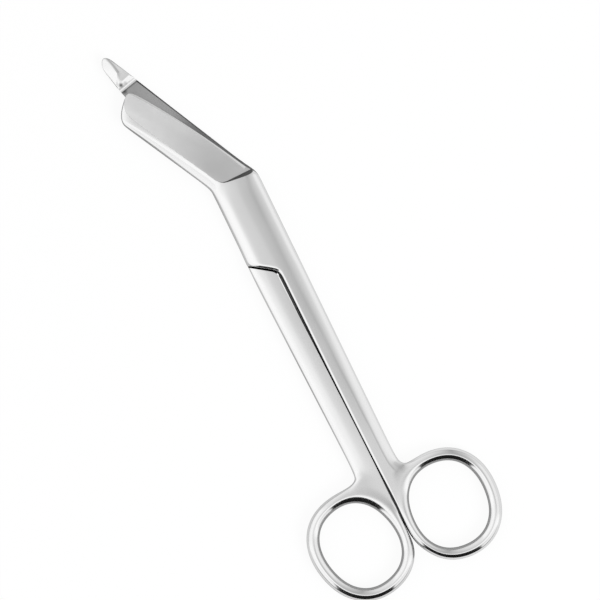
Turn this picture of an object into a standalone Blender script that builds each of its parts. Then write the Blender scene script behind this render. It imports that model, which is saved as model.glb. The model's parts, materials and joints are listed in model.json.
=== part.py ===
"""Angled bandage scissors, 18 cm long, lying closed on their back.

Three pieces: the front half, the rear half and the screw that holds them together. Each half is modelled
the way it is made: a forged blank with rounded edges, then a milled lap, ground blade faces and a drilled
pivot. The origin is on the pivot's axis, in the front half's outer face.

Each half has a frame of its own. u runs across the shank, away from the seam between the two handles.
v runs up the shank, towards the blades. w is the height above the plane where the halves lap, towards the
half's own outer face. The pivot's axis is u = v = 0. The rear half lies turned over about v.
"""

import math
from dataclasses import dataclass

import bmesh
import bpy
from mathutils import Matrix

# Box, the thick part round the pivot. Left and right are seen from the front.
BOX_THICKNESS = 0.0050
BOX_END = 0.0090
LEFT_REACH = 0.0068
RIGHT_REACH = 0.0079
STEP_AT_SEAM = 0.0177
STEP_AT_SIDE = 0.0127
EDGE_SUPPORT = 0.0015
SOFT_BEVEL_WIDTH = 0.0026
SOFT_BEVEL_DROP = 0.0008
CROWN_RADIUS = 0.062
STEP_CORNER_REACH = 0.0025
FAR_COLUMN_SHARE = 0.35

# Running clearances between the halves. The seam between the shanks opens towards the step.
LAP_GAP = 0.0001
SEAM_GAP = 0.0002
SEAM_GAP_AT_STEP = 0.0010
SEAM_TAPER_LENGTH = 0.038
SHOULDER_GAP = 0.0003
SHOULDER_CORNER_RADIUS = 0.0030

# The walls along the seam lean, one like the other, so that the seam can't be looked through. Halfway up,
# the seam lies this far to the left of the pivot.
SEAM_LEAN = 11.0
SEAM_SHIFT = 0.0005

# Shanks.
SHANK_THICKNESS = 0.0041
SHANK_START = 0.0200
SHANK_END = 0.0815
FRONT_SHANK_WIDTH = 0.0074
FRONT_SHANK_END_WIDTH = 0.0063
REAR_SHANK_WIDTH = 0.0074
REAR_SHANK_END_WIDTH = 0.0069
FRONT_BEVEL_WIDTH = 0.0028
FRONT_BEVEL_DROP = 0.0007
FRONT_BEVEL_DROP_AT_RING = 0.00095
FRONT_BEVEL_ARCH = 0.0
REAR_BEVEL_WIDTH = 0.0030
REAR_BEVEL_DROP = 0.00046
REAR_BEVEL_DROP_AT_RING = 0.00034
REAR_BEVEL_ARCH = 0.24
SEAM_EDGE_LAND = 0.0009

# Finger rings: bar, half the hole's width and height, its lean and how far it lies below the pivot.
RING_THICKNESS = 0.0042
RING_BAR = 0.00385
RING_SQUARENESS = 2.25
RING_THIN_SIDE = 188.0
RING_CONTACT = 0.8
FRONT_BAR_AT_SEAM = 0.0027
FRONT_HOLE_HALF_WIDTH = 0.0112
FRONT_HOLE_HALF_HEIGHT = 0.01284
FRONT_HOLE_LEAN = 3.0
FRONT_HOLE_DROP = 0.10166
REAR_BAR_AT_SEAM = 0.0038
REAR_HOLE_HALF_WIDTH = 0.0109
REAR_HOLE_HALF_HEIGHT = 0.0128
REAR_HOLE_LEAN = 12.0
REAR_HOLE_DROP = 0.10085

# Blades. A lean is an angle from the shank's line, in degrees.
BEND_ROUND = 0.0025
FRONT_CORNER = 0.0112
FRONT_BEND = 0.0124
FRONT_SPINE_LEAN = 26.4
FRONT_SPINE_LENGTH = 0.0314
FRONT_EDGE_INSET = 0.0024
FRONT_EDGE_START = 0.0142
FRONT_EDGE_LEAN = 30.0
FRONT_EDGE_LENGTH = 0.0413
FRONT_EDGE_BELLY = 0.0008
NOSE_LEAN = 51.5
REAR_BEND = 0.0112
REAR_SPINE_LEAN = 25.6
REAR_EDGE_START = 0.0130
REAR_EDGE_LEAN = 15.8

# Blade sections.
GROUND_FACE_START = 0.0129
GROUND_CORNER_RADIUS = 0.0030
GROUND_CORNER_REACH = 0.0014
SPINE_HEIGHT = 0.0022
SPINE_HEIGHT_AT_TIP = 0.0017
SPINE_BAND = 0.0034
SPINE_BAND_AT_TIP = 0.0026
SPINE_RIM_HEIGHT = 0.0012
SPINE_LIP_SHARE = 0.17
LAP_RIM_DEPTH = 0.0008
EDGE_THICKNESS = 0.0003
HONED_EDGE_THICKNESS = 0.0001
HONING_ANGLE = 35.0
HONING_RUN_OUT = 0.0010
SPINE_CHAMFER = 0.0005
GRINDING_STOCK = 0.00015
GROUND_SHOULDER_SLOPE = 52.0
HOLLOW_DEPTH = 0.00015
HOLLOW_MARGIN = 0.0012

# Probe.
PROBE_FOOT_GAP = 0.0008
PROBE_FOOT_SLANT = 12.0
PROBE_SIDE_LENGTH = 0.0090
PROBE_SIDE_LEAN = 11.4
PROBE_TIP_ROUND = 0.0024
PROBE_TIP_LEAN = 6.0
PROBE_RISE = 0.0013
PROBE_BACK_HEIGHT = 0.0016
PROBE_TIP_SHARE = 0.45
PROBE_EDGE_SHARE = 0.3
PROBE_RIDGE_AT_TIP = (0.18, 0.38)
PROBE_RIDGE_DROP = 0.05

# The probe's heel, from the blade's lap face up: a hollow, a short steep step and a long gentle slope.
HEEL_HOLLOW_LENGTH = 0.0009
HEEL_HOLLOW_SLOPE = 12.0
HEEL_STEP_LENGTH = 0.00012
HEEL_STEP_SLOPE = 40.0
HEEL_SLOPE = 14.0

# Pivot screw.
SCREW_RADIUS = 0.0020
SCREW_HEAD_RADIUS = 0.0033
SCREW_HEAD_HEIGHT = 0.0012
SCREW_HEAD_LAND = 0.0002
SCREW_HEAD_SINK = 0.0001
SCREW_END_RADIUS = 0.0016
SCREW_END_CHAMFER = 0.0003
SCREW_GRIP = 0.0016
SCREW_CLEARANCE = 0.00006
SLOT_WIDTH = 0.0008
SLOT_DEPTH = 0.0007

# Mesh densities.
SCREW_SIDES = 48
RING_STEPS = 20
SHANK_STEPS = 4
BOX_STEPS = 4
BLADE_STEPS = 6
PROBE_STEPS = 3
HEEL_STEPS = 3
HONING_STEPS = 8
SURFACE_LEVEL = 1

# The ring's first joint with the shank, as an angle round its hole, in degrees.
RING_START = 110.0

# Columns of quads across the shank, and across the box on the far side of the seam.
SHANK_COLUMNS = 4
FAR_COLUMNS = 3
COLUMNS = FAR_COLUMNS + SHANK_COLUMNS

# Where the columns run across a blade, as shares of its width, and the two that bound the probe's ridge.
SHARES = (0.0, 0.16, 0.34, 0.48, 0.60, 0.73, 0.86, 1.0)
RIDGE = (3, 4)

# Edge creases of the forged blanks, from 0 for soft to 1 for sharp.
STEP_CREASE = 0.0
FRONT_SEAM_CREASE = 0.1
REAR_SEAM_CREASE = 0.9
SIDE_CREASE = 0.1
CORNER_CREASE = 0.5
SOFT_CREASE = 0.0
FRONT_BEVEL_CREASE = 0.7
REAR_BEVEL_CREASE = 0.0
RIDGE_CREASE = 0.4

# How far past the steel a cutter reaches.
CLEAR = 0.004


@dataclass(frozen=True)
class Half:
    """What sets one half apart from the other, in its own frame."""

    name: str
    crowned: bool
    seam_shift: float
    seam_crease: float
    shank_reach: float
    far_reach: float
    shank_width: float
    shank_end_width: float
    bevel_width: float
    bevel_drop: float
    bevel_drop_at_ring: float
    bevel_arch: float
    bevel_crease: float
    far_width: float
    bar_at_seam: float
    hole_half_width: float
    hole_half_height: float
    hole_lean: float
    hole_drop: float


FRONT = Half("front_half", True, -SEAM_SHIFT, FRONT_SEAM_CREASE, RIGHT_REACH, LEFT_REACH,
             FRONT_SHANK_WIDTH, FRONT_SHANK_END_WIDTH, FRONT_BEVEL_WIDTH, FRONT_BEVEL_DROP,
             FRONT_BEVEL_DROP_AT_RING, FRONT_BEVEL_ARCH, FRONT_BEVEL_CREASE, REAR_SHANK_WIDTH,
             FRONT_BAR_AT_SEAM, FRONT_HOLE_HALF_WIDTH, FRONT_HOLE_HALF_HEIGHT, FRONT_HOLE_LEAN,
             FRONT_HOLE_DROP)
REAR = Half("rear_half", False, SEAM_SHIFT, REAR_SEAM_CREASE, LEFT_REACH, RIGHT_REACH,
            REAR_SHANK_WIDTH, REAR_SHANK_END_WIDTH, REAR_BEVEL_WIDTH, REAR_BEVEL_DROP,
            REAR_BEVEL_DROP_AT_RING, REAR_BEVEL_ARCH, REAR_BEVEL_CREASE, FRONT_SHANK_WIDTH,
            REAR_BAR_AT_SEAM, REAR_HOLE_HALF_WIDTH, REAR_HOLE_HALF_HEIGHT, REAR_HOLE_LEAN, REAR_HOLE_DROP)


def clear_scene():
    for item in list(bpy.data.objects):
        bpy.data.objects.remove(item, do_unlink=True)


def steel(name, colour, roughness):
    material = bpy.data.materials.new(name)
    material.use_nodes = True
    shader = material.node_tree.nodes["Principled BSDF"]
    shader.inputs["Base Color"].default_value = (*colour, 1.0)
    shader.inputs["Metallic"].default_value = 1.0
    shader.inputs["Roughness"].default_value = roughness
    return material


def mix(a, b, t):
    return tuple(p + (q - p) * t for p, q in zip(a, b))


def blend(a, b, t):
    return a + (b - a) * min(max(t, 0.0), 1.0)


def bezier(a, pull, b, t):
    return mix(mix(a, pull, t), mix(pull, b, t), t)


def ahead(point, lean, distance):
    """The point at this distance, in a direction that leans from +v towards +u by an angle in degrees."""
    angle = math.radians(lean)
    return (point[0] + distance * math.sin(angle), point[1] + distance * math.cos(angle))


def meeting(a, lean_a, b, lean_b):
    """Where the line from a with one lean meets the line from b with the other."""
    ua, va = ahead((0.0, 0.0), lean_a, 1.0)
    ub, vb = ahead((0.0, 0.0), lean_b, 1.0)
    along = ((b[0] - a[0]) * vb - (b[1] - a[1]) * ub) / (ua * vb - va * ub)
    return (a[0] + ua * along, a[1] + va * along)


def swell(count):
    """How far outside a smooth closed curve the corners of its cage lie, for a cage of so many corners."""
    return 3.0 / (2.0 + math.cos(2.0 * math.pi / count))


class Blank:
    """A closed cage of quads: an outer and an inner sheet over one plan grid, joined round each rim."""

    def __init__(self):
        self.outer = {}
        self.inner = {}
        self.side = {}
        self.quads = []
        self.rim = {}
        self.corner = {}
        self.ridges = []
        self.bevels = []

    def add(self, key, plan, height, depth, inner_plan=None, side=None, rim=0.0, corner=0.0):
        """A grid point: its plan place, its outer height and inner depth, and its rim's middle and crease."""
        self.outer[key] = (*plan, height)
        self.inner[key] = (*(inner_plan or plan), depth)
        self.side[key] = side or (*plan, 0.0)
        self.rim[key] = rim
        self.corner[key] = corner

    def rims(self):
        """The edges that only one quad has, each in that quad's direction."""
        edges = {(q[i], q[(i + 1) % 4]) for q in self.quads for i in range(4)}
        return [edge for edge in edges if (edge[1], edge[0]) not in edges]

    def mesh(self, name):
        shape = bmesh.new()
        crease = shape.edges.layers.float.new("crease_edge")
        used = sorted({key for quad in self.quads for key in quad}, key=str)
        rims = sorted(self.rims(), key=str)
        outer = {key: shape.verts.new(self.outer[key]) for key in used}
        inner = {key: shape.verts.new(self.inner[key]) for key in used}
        side = {key: shape.verts.new(self.side[key]) for key, _ in rims}
        for quad in self.quads:
            shape.faces.new([outer[key] for key in quad])
            shape.faces.new([inner[key] for key in reversed(quad)])
        for a, b in rims:
            shape.faces.new([outer[b], outer[a], side[a], side[b]])
            shape.faces.new([side[b], side[a], inner[a], inner[b]])
            for sheet in (outer, inner):
                shape.edges.get((sheet[a], sheet[b]))[crease] = (self.rim[a] + self.rim[b]) / 2.0
        for key, vertex in side.items():
            shape.edges.get((outer[key], vertex))[crease] = self.corner[key]
            shape.edges.get((vertex, inner[key]))[crease] = self.corner[key]
        for a, b, value in self.ridges:
            shape.edges.get((inner[a], inner[b]))[crease] = value
        for a, b, value in self.bevels:
            for sheet in (outer, inner):
                shape.edges.get((sheet[a], sheet[b]))[crease] = value
        mesh = bpy.data.meshes.new(name)
        shape.to_mesh(mesh)
        shape.free()
        mesh.shade_smooth()
        return mesh


def down_shank(v):
    """How far down the shank v lies, from 0 at the step to 1 at the ring."""
    return min(max((-STEP_AT_SEAM - v) / (SHANK_END - STEP_AT_SEAM), 0.0), 1.0)


def half_height(v):
    """Half the thickness of the box and shank, which thins from the step down to the ring."""
    return blend(BOX_THICKNESS / 2, SHANK_THICKNESS / 2, down_shank(v))


def face_height(half, u, v):
    """The outer face's height. A crowned half arches across its box and flattens out down its shank."""
    arch = 1.0 - down_shank(v) if half.crowned else 0.0
    return half_height(v) - arch * u * u / (2.0 * CROWN_RADIUS)


def seam_side(half, v):
    """Where the shank's side along the seam lies, halfway up."""
    gap = blend(SEAM_GAP_AT_STEP, SEAM_GAP, (-STEP_AT_SEAM - v) / SEAM_TAPER_LENGTH)
    return gap / 2 + half.seam_shift


def seam_lean(height):
    return height * math.tan(math.radians(SEAM_LEAN))


def shank_side(half, v):
    """The outline over the shank: straight from the box's end to the shank's start, and on to its end."""
    if v > -SHANK_START:
        return blend(half.shank_reach, half.shank_width, (BOX_END - v) / (BOX_END + SHANK_START))
    return blend(half.shank_width, half.shank_end_width, (-SHANK_START - v) / (SHANK_END - SHANK_START))


def far_side(half, v):
    return -blend(half.far_reach, half.far_width, (BOX_END - v) / (BOX_END + SHANK_START))


def shank_row(half, v):
    """The five places across the shank at v, from the seam to the outer side."""
    seam = seam_side(half, v)
    land = seam + SEAM_EDGE_LAND
    outer = shank_side(half, v)
    bevel = outer - half.bevel_width
    return [seam, land, (land + bevel) / 2, bevel, outer]


def bevel_drops(half, v):
    """How far the shank's outer face drops at each place of a row, from the seam to the outer side."""
    drop = blend(half.bevel_drop, half.bevel_drop_at_ring, down_shank(v))
    return [drop * share for share in (0.0, 0.0, half.bevel_arch ** 2, half.bevel_arch, 1.0)]


def box_row(half, v):
    """The eight places across the box at v, from its far side to the side over the shank."""
    side = far_side(half, v)
    bevel = side + SOFT_BEVEL_WIDTH
    return [side, bevel, blend(bevel, seam_side(half, v), FAR_COLUMN_SHARE)] + shank_row(half, v)


def ring_outline(half, degrees):
    """A point on the ring's hole and the outward direction there."""
    def hole(angle):
        power = 2.0 / RING_SQUARENESS
        cosine, sine = math.cos(angle), math.sin(angle)
        x = half.hole_half_width * math.copysign(abs(cosine) ** power, cosine)
        y = half.hole_half_height * math.copysign(abs(sine) ** power, sine)
        lean = math.radians(half.hole_lean)
        return (x * math.cos(lean) + y * math.sin(lean), y * math.cos(lean) - x * math.sin(lean))

    angle = math.radians(degrees)
    step = math.radians(2.0)
    before, after = hole(angle - step), hole(angle + step)
    along = (after[0] - before[0], after[1] - before[1])
    length = math.hypot(*along)
    return hole(angle), (along[1] / length, -along[0] / length)


def ring_point(half, degrees, across, up):
    """A cage point of the ring's oval bar: across is -1 at the hole and 1 outside, up is 1 on its crown."""
    hole, out = ring_outline(half, degrees)
    thin = max(0.0, math.cos(math.radians(degrees - RING_THIN_SIDE))) ** 2
    bar = blend(RING_BAR, half.bar_at_seam, thin)
    reach = bar / 2 * (1.0 + across * swell(8))
    centre = (SEAM_GAP / 2 + half.bar_at_seam + half.hole_half_width, -half.hole_drop)
    u = centre[0] + (hole[0] + out[0] * reach) * swell(RING_STEPS)
    v = centre[1] + (hole[1] + out[1] * reach) * swell(RING_STEPS)
    return (u, v, up * swell(8) * RING_THICKNESS / 2)


def ring_angle(index):
    return RING_START + 360.0 * index / RING_STEPS


def add_ring(blank, half):
    """The ring's three circles of points: its outer side, its crown and its hole."""
    diagonal = math.sqrt(0.5)
    end_height = half_height(-SHANK_END)
    seam = seam_side(half, -SHANK_END)
    for index in range(RING_STEPS):
        angle = ring_angle(index)
        outside = ring_point(half, angle, diagonal, diagonal)
        crown = ring_point(half, angle, 0.0, 1.0)
        inside = ring_point(half, angle, -diagonal, diagonal)
        outer_mid = ring_point(half, angle, 1.0, 0.0)
        inner_mid = ring_point(half, angle, -1.0, 0.0)
        rim, lean = 0.0, 0.0
        if index == 0:
            outside = (*mix(outside, outer_mid, 0.5)[:2], (outside[2] + end_height) / 2)
        elif index < SHANK_COLUMNS:
            outside = (*outer_mid[:2], end_height)
        elif index == SHANK_COLUMNS:
            outside = (seam, outer_mid[1], end_height)
            outer_mid = (seam, outer_mid[1], 0.0)
            rim, lean = SIDE_CREASE, seam_lean(end_height)
        elif index == SHANK_COLUMNS + 1:
            outside = (blend(outside[0], seam, RING_CONTACT), *outside[1:])
            outer_mid = (blend(outer_mid[0], seam, RING_CONTACT), *outer_mid[1:])
        if index <= SHANK_COLUMNS:
            crown = (*crown[:2], (crown[2] + end_height) / 2)
        blank.add(("outside", index), (outside[0] + lean, outside[1]), outside[2], -outside[2],
                  inner_plan=(outside[0] - lean, outside[1]), side=outer_mid, rim=rim)
        blank.add(("crown", index), crown[:2], crown[2], -crown[2])
        blank.add(("hole", index), inside[:2], inside[2], -inside[2], side=inner_mid)
    for index in range(RING_STEPS):
        after = (index + 1) % RING_STEPS
        blank.quads.append((("crown", index), ("outside", index), ("outside", after), ("crown", after)))
        blank.quads.append((("hole", index), ("crown", index), ("crown", after), ("hole", after)))


def row_key(row, column):
    """A grid point's name. Row 0 is where the shank's columns end on the ring's outer side."""
    if row == 0:
        return ("outside", COLUMNS - column)
    return (row, column)


def join_rows(blank, row, first):
    for column in range(first, COLUMNS):
        blank.quads.append((row_key(row, column), row_key(row, column + 1),
                            (row + 1, column + 1), (row + 1, column)))


def add_shank(blank, half):
    """Rows from the ring up to the step's corner. Returns the last row's number."""
    top = shank_row(half, -SHANK_END)
    places = []
    for share in (1.0 / 3.0, 2.0 / 3.0):
        row = []
        for index, u in enumerate(top):
            foot = blank.outer[row_key(0, FAR_COLUMNS + index)]
            start = (u, -SHANK_END)
            pull = mix(start, foot[:2], 0.5)
            if index == SHANK_COLUMNS:
                pull = (u, foot[1])
            row.append(bezier(foot[:2], pull, start, share))
        places.append(row)
    low, high = -SHANK_END, -STEP_AT_SEAM - STEP_CORNER_REACH
    for step in range(SHANK_STEPS + 1):
        v = low + (high - low) * step / SHANK_STEPS
        places.append([(u, v) for u in shank_row(half, v)])
    places.append([(u, -STEP_AT_SEAM) for u in shank_row(half, -STEP_AT_SEAM)])
    for row, plans in enumerate(places, start=1):
        height = half_height(plans[0][1])
        for index, (plan, drop) in enumerate(zip(plans, bevel_drops(half, plans[0][1]))):
            level = face_height(half, *plan) - blend(0.0, drop, row / 3.0)
            rim = SIDE_CREASE if index == SHANK_COLUMNS else half.seam_crease
            lean = seam_lean(height) if index < 2 else 0.0
            blank.add((row, FAR_COLUMNS + index), (plan[0] + lean, plan[1]), level, -level,
                      inner_plan=(plan[0] - lean, plan[1]), side=(*plan, 0.0), rim=rim)
        join_rows(blank, row - 1, FAR_COLUMNS)
        if row > 1:
            crease = blend(half.bevel_crease, 0.0, row / len(places))
            blank.bevels.append(((row - 1, COLUMNS - 1), (row, COLUMNS - 1), crease))
    return len(places)


def box_heights(half, v):
    drops = [SOFT_BEVEL_DROP] + [0.0] * (FAR_COLUMNS - 1) + bevel_drops(half, v)
    return [face_height(half, u, v) - drop for u, drop in zip(box_row(half, v), drops)]


def add_box(blank, half, row):
    """The step's edge, and the box's straight rows above it. Returns the last row's number."""
    slope = (STEP_AT_SEAM - STEP_AT_SIDE) / half.far_reach
    level = box_heights(half, 0.0)

    def step_edge(u, above):
        return (u, -STEP_AT_SEAM - u * slope + above)

    places = box_row(half, -STEP_AT_SEAM)
    for column in range(FAR_COLUMNS):
        plan = step_edge(places[column], 0.0)
        corner = CORNER_CREASE if column == 0 else 0.0
        blank.add((row, column), plan, level[column], -level[column], side=(*plan, -LAP_RIM_DEPTH),
                  rim=STEP_CREASE, corner=corner)
    rows = [[(u, max(step_edge(u, EDGE_SUPPORT)[1], -STEP_AT_SEAM + EDGE_SUPPORT))
             for u in box_row(half, -STEP_AT_SEAM + EDGE_SUPPORT)]]
    low = EDGE_SUPPORT - STEP_AT_SIDE
    high = min(FRONT_BEND, REAR_BEND) - 2.0 * EDGE_SUPPORT
    for step in range(1, BOX_STEPS + 1):
        v = low + (high - low) * step / BOX_STEPS
        rows.append([(u, v) for u in box_row(half, v)])
    for plans in rows:
        row += 1
        for column, plan in enumerate(plans):
            rim = SOFT_CREASE if column == 0 else SIDE_CREASE
            blank.add((row, column), plan, level[column], -level[column], side=(*plan, -LAP_RIM_DEPTH),
                      rim=rim)
        join_rows(blank, row - 1, 0)
    return row


def patch(left, right, low, high, s, t):
    """A point of the plan patch between four edges, each a function that runs from 0 to 1."""
    across = mix(left(t), right(t), s)
    along = mix(low(s), high(s), t)
    corners = mix(mix(low(0.0), low(1.0), s), mix(high(0.0), high(1.0), s), t)
    return (across[0] + along[0] - corners[0], across[1] + along[1] - corners[1])


def front_blade():
    """The front blade's outline: bend rows, then its two edges and its nose, as functions from 0 to 1."""
    half = FRONT
    bend = (-half.far_reach, FRONT_BEND)
    edge = (half.shank_reach - FRONT_EDGE_INSET, FRONT_EDGE_START)
    start = ahead(bend, -FRONT_SPINE_LEAN, BEND_ROUND)
    shoulder = ahead(bend, -FRONT_SPINE_LEAN, FRONT_SPINE_LENGTH)
    tip = ahead(edge, -FRONT_EDGE_LEAN, FRONT_EDGE_LENGTH)
    nose = meeting(shoulder, -FRONT_SPINE_LEAN, tip, NOSE_LEAN)

    def cutting_edge(t):
        chord = mix(edge, tip, t)
        return ahead(chord, 90.0 - FRONT_EDGE_LEAN, FRONT_EDGE_BELLY * 4.0 * t * (1.0 - t))

    side_corner = (half.shank_reach, FRONT_CORNER)
    rows = [(mix((-half.far_reach, side_corner[1]), bend, 0.3), side_corner),
            (bend, mix(side_corner, edge, 0.55))]
    return (rows, lambda t: mix(start, shoulder, t), cutting_edge,
            lambda s: mix(start, edge, s), lambda s: bezier(shoulder, nose, tip, s))


def probe_foot():
    """A point on the line of the probe's foot, in the rear half's frame, just past the front blade's tip."""
    tip = front_blade()[2](1.0)
    return ahead((-tip[0], tip[1]), PROBE_FOOT_SLANT, PROBE_FOOT_GAP)


def rear_blade():
    """The rear blade's outline up to the probe's foot, in the same form as the front blade's."""
    half = REAR
    bend = (-half.far_reach, REAR_BEND)
    corner = (half.shank_reach, REAR_EDGE_START)
    across = 90.0 + PROBE_FOOT_SLANT
    foot_left = meeting(bend, REAR_SPINE_LEAN, probe_foot(), across)
    foot_right = meeting(corner, REAR_EDGE_LEAN, probe_foot(), across)
    start_left = ahead(bend, REAR_SPINE_LEAN, 2.0 * BEND_ROUND)
    start_right = ahead(corner, REAR_EDGE_LEAN, BEND_ROUND)
    rows = [(bend, (half.shank_reach, (REAR_EDGE_START + REAR_BEND) / 2)),
            (ahead(bend, REAR_SPINE_LEAN, BEND_ROUND), corner)]
    return (rows, lambda t: mix(start_left, foot_left, t), lambda t: mix(start_right, foot_right, t),
            lambda s: mix(start_left, start_right, s), lambda s: mix(foot_left, foot_right, s))


def blade_heights(t):
    """The blank's height over a blade's columns, t from its base to its tip."""
    spine = blend(SPINE_HEIGHT, SPINE_HEIGHT_AT_TIP, t)
    rim = SPINE_RIM_HEIGHT * spine / SPINE_HEIGHT
    full = spine + GRINDING_STOCK
    return [rim, spine - GRINDING_STOCK] + [full] * (COLUMNS - 2) + [spine - 3.0 * GRINDING_STOCK]


def add_blade(blank, half, row, outline):
    """The rows round the bend and along the blade. Returns the last row's number."""
    bends, left, right, low, high = outline
    box = box_heights(half, 0.0)
    blade = blade_heights(0.0)
    under = BOX_THICKNESS / 2

    for index, (a, b) in enumerate(bends):
        row += 1
        share = (index + 1) / (len(bends) + 1)
        for column, s in enumerate(SHARES):
            plan = mix(a, b, s)
            level = blend(box[column], blade[column], share)
            middle = blend(-LAP_RIM_DEPTH, SPINE_RIM_HEIGHT / 2, share)
            blank.add((row, column), plan, level, -under, side=(*plan, middle), rim=SOFT_CREASE)
        join_rows(blank, row - 1, 0)
    for step in range(BLADE_STEPS + 1):
        row += 1
        t = step / BLADE_STEPS
        level = blade_heights(t)
        plans = [patch(left, right, low, high, s, t) for s in SHARES]
        for column, plan in enumerate(plans):
            lip = mix(plan, plans[1], SPINE_LIP_SHARE) if column == 0 else plan
            inner = mix(plan, plans[1], 0.5) if column == 0 else plan
            blank.add((row, column), lip, level[column], -LAP_RIM_DEPTH, inner_plan=inner,
                      side=(*plan, SPINE_RIM_HEIGHT / 2), rim=SOFT_CREASE)
        join_rows(blank, row - 1, 0)
    return row


def add_probe(blank, row, outline):
    """The probe's rows, from its foot to its rounded tip. The foot is the rear blade's last row."""
    _, left, right, _, foot = outline
    foot_left, foot_right = left(1.0), right(1.0)
    tip_left = ahead(foot_left, REAR_SPINE_LEAN, PROBE_SIDE_LENGTH)
    tip_right = ahead(foot_right, PROBE_SIDE_LEAN, PROBE_SIDE_LENGTH)
    pull = ahead(mix(tip_left, tip_right, 0.5), PROBE_TIP_LEAN, 2.0 * PROBE_TIP_ROUND)
    for step in range(PROBE_STEPS + 1):
        t = step / PROBE_STEPS
        swelling = blend(1.0, PROBE_TIP_SHARE, t ** 3)
        ridge = [blend(SHARES[column], tip, t) for column, tip in zip(RIDGE, PROBE_RIDGE_AT_TIP)]
        for column, share in enumerate(SHARES):
            if column <= RIDGE[0]:
                up = share / SHARES[RIDGE[0]]
                s = ridge[0] * up
                up *= 1.0 - PROBE_RIDGE_DROP
            else:
                up = (1.0 - share) / (1.0 - SHARES[RIDGE[1]])
                s = 1.0 - (1.0 - ridge[1]) * up
            plan = patch(lambda k: mix(foot_left, tip_left, k), lambda k: mix(foot_right, tip_right, k),
                         foot, lambda k: bezier(tip_left, pull, tip_right, k), s, t)
            roof = PROBE_RISE * swelling * blend(PROBE_EDGE_SHARE, 1.0, up)
            back = PROBE_BACK_HEIGHT * swelling * blend(PROBE_TIP_SHARE, 1.0, 2.0 * up)
            blank.add((row, column), plan, back, -roof)
        if step:
            join_rows(blank, row - 1, 0)
            if step < PROBE_STEPS:
                for column in RIDGE:
                    blank.ridges.append(((row - 1, column), (row, column), RIDGE_CREASE))
        row += 1


def lofted(name, *loops):
    """A closed solid through loops of as many points, from the lowest up, each anticlockwise from above."""
    shape = bmesh.new()
    levels = [[shape.verts.new(point) for point in loop] for loop in loops]
    shape.faces.new(list(reversed(levels[0])))
    shape.faces.new(levels[-1])
    for low, high in zip(levels, levels[1:]):
        for index in range(len(low)):
            after = (index + 1) % len(low)
            shape.faces.new([low[index], low[after], high[after], high[index]])
    mesh = bpy.data.meshes.new(name)
    shape.to_mesh(mesh)
    shape.free()
    return mesh


def turned(name, profile):
    """A closed solid of revolution about w. The profile runs down its outside, as (radius, w) pairs."""
    shape = bmesh.new()
    angles = [2.0 * math.pi * k / SCREW_SIDES for k in range(SCREW_SIDES)]
    rings = [[shape.verts.new((radius * math.cos(a), radius * math.sin(a), w)) for a in angles]
             for radius, w in profile]
    shape.faces.new(rings[0])
    shape.faces.new(list(reversed(rings[-1])))
    for upper, lower in zip(rings, rings[1:]):
        for k in range(SCREW_SIDES):
            after = (k + 1) % SCREW_SIDES
            shape.faces.new([upper[k], lower[k], lower[after], upper[after]])
    mesh = bpy.data.meshes.new(name)
    shape.to_mesh(mesh)
    shape.free()
    return mesh


def heel_profile():
    """The probe's heel as (distance from its foot, height over the lap face) pairs."""
    radius = HEEL_HOLLOW_LENGTH / math.sin(math.radians(HEEL_HOLLOW_SLOPE))
    tilts = [math.radians(HEEL_HOLLOW_SLOPE) * k / HEEL_STEPS for k in range(HEEL_STEPS + 1)]
    profile = [(radius * math.sin(a), radius * (1.0 - math.cos(a))) for a in tilts]
    for length, slope in ((HEEL_STEP_LENGTH, HEEL_STEP_SLOPE), (PROBE_SIDE_LENGTH + CLEAR, HEEL_SLOPE)):
        reach, height = profile[-1]
        profile.append((reach + length, height + length * math.tan(math.radians(slope))))
    return profile


def lap_cutter(half, far_left, far_right, wall):
    """Mills away what lies under the lap plane, from the shoulder on the shank to a line past the blade.

    The shoulder follows the other half's step, a gap away, and its corner at the seam is rounded. The mill
    leaves a wall along the far line, given as (distance past the line, height) pairs from its foot up.
    """
    rise = STEP_AT_SEAM - STEP_AT_SIDE
    slant = math.atan2(rise, half.shank_reach)
    radius = SHOULDER_CORNER_RADIUS
    below = -STEP_AT_SEAM - 2.0 * CLEAR
    seam = seam_side(half, below) - seam_lean(BOX_THICKNESS / 2)

    def shoulder(u, inside=0.0):
        return -STEP_AT_SEAM + u * math.tan(slant) - (SHOULDER_GAP + inside) / math.cos(slant)

    centre = (seam + radius, shoulder(seam + radius, radius))
    first, last = math.pi, math.pi / 2 + slant
    turns = [first + (last - first) * k / 6 for k in range(7)]
    corner = [(centre[0] + radius * math.cos(a), centre[1] + radius * math.sin(a)) for a in turns]
    outside = half.shank_reach + CLEAR
    loop = [(far_left[0], below), (seam, below)] + corner + [(outside, shoulder(outside))]
    lean = math.degrees(math.atan2(far_right[0] - far_left[0], far_right[1] - far_left[1])) - 90.0
    loops = [[(*p, LAP_GAP / 2 - height) for p in
              loop + [ahead(far_right, lean, reach), ahead(far_left, lean, reach)]]
             for reach, height in reversed(wall)]
    return lofted(half.name + "_lap", *loops)


def plane_through(a, b, c):
    """The height of the plane through three points, as a function of (u, v)."""
    u1, v1, w1 = (q - p for p, q in zip(a, b))
    u2, v2, w2 = (q - p for p, q in zip(a, c))
    turn = u1 * v2 - v1 * u2
    by_u = (w1 * v2 - v1 * w2) / turn
    by_v = (u1 * w2 - w1 * u2) / turn
    return lambda u, v: a[2] + by_u * (u - a[0]) + by_v * (v - a[1])


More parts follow.
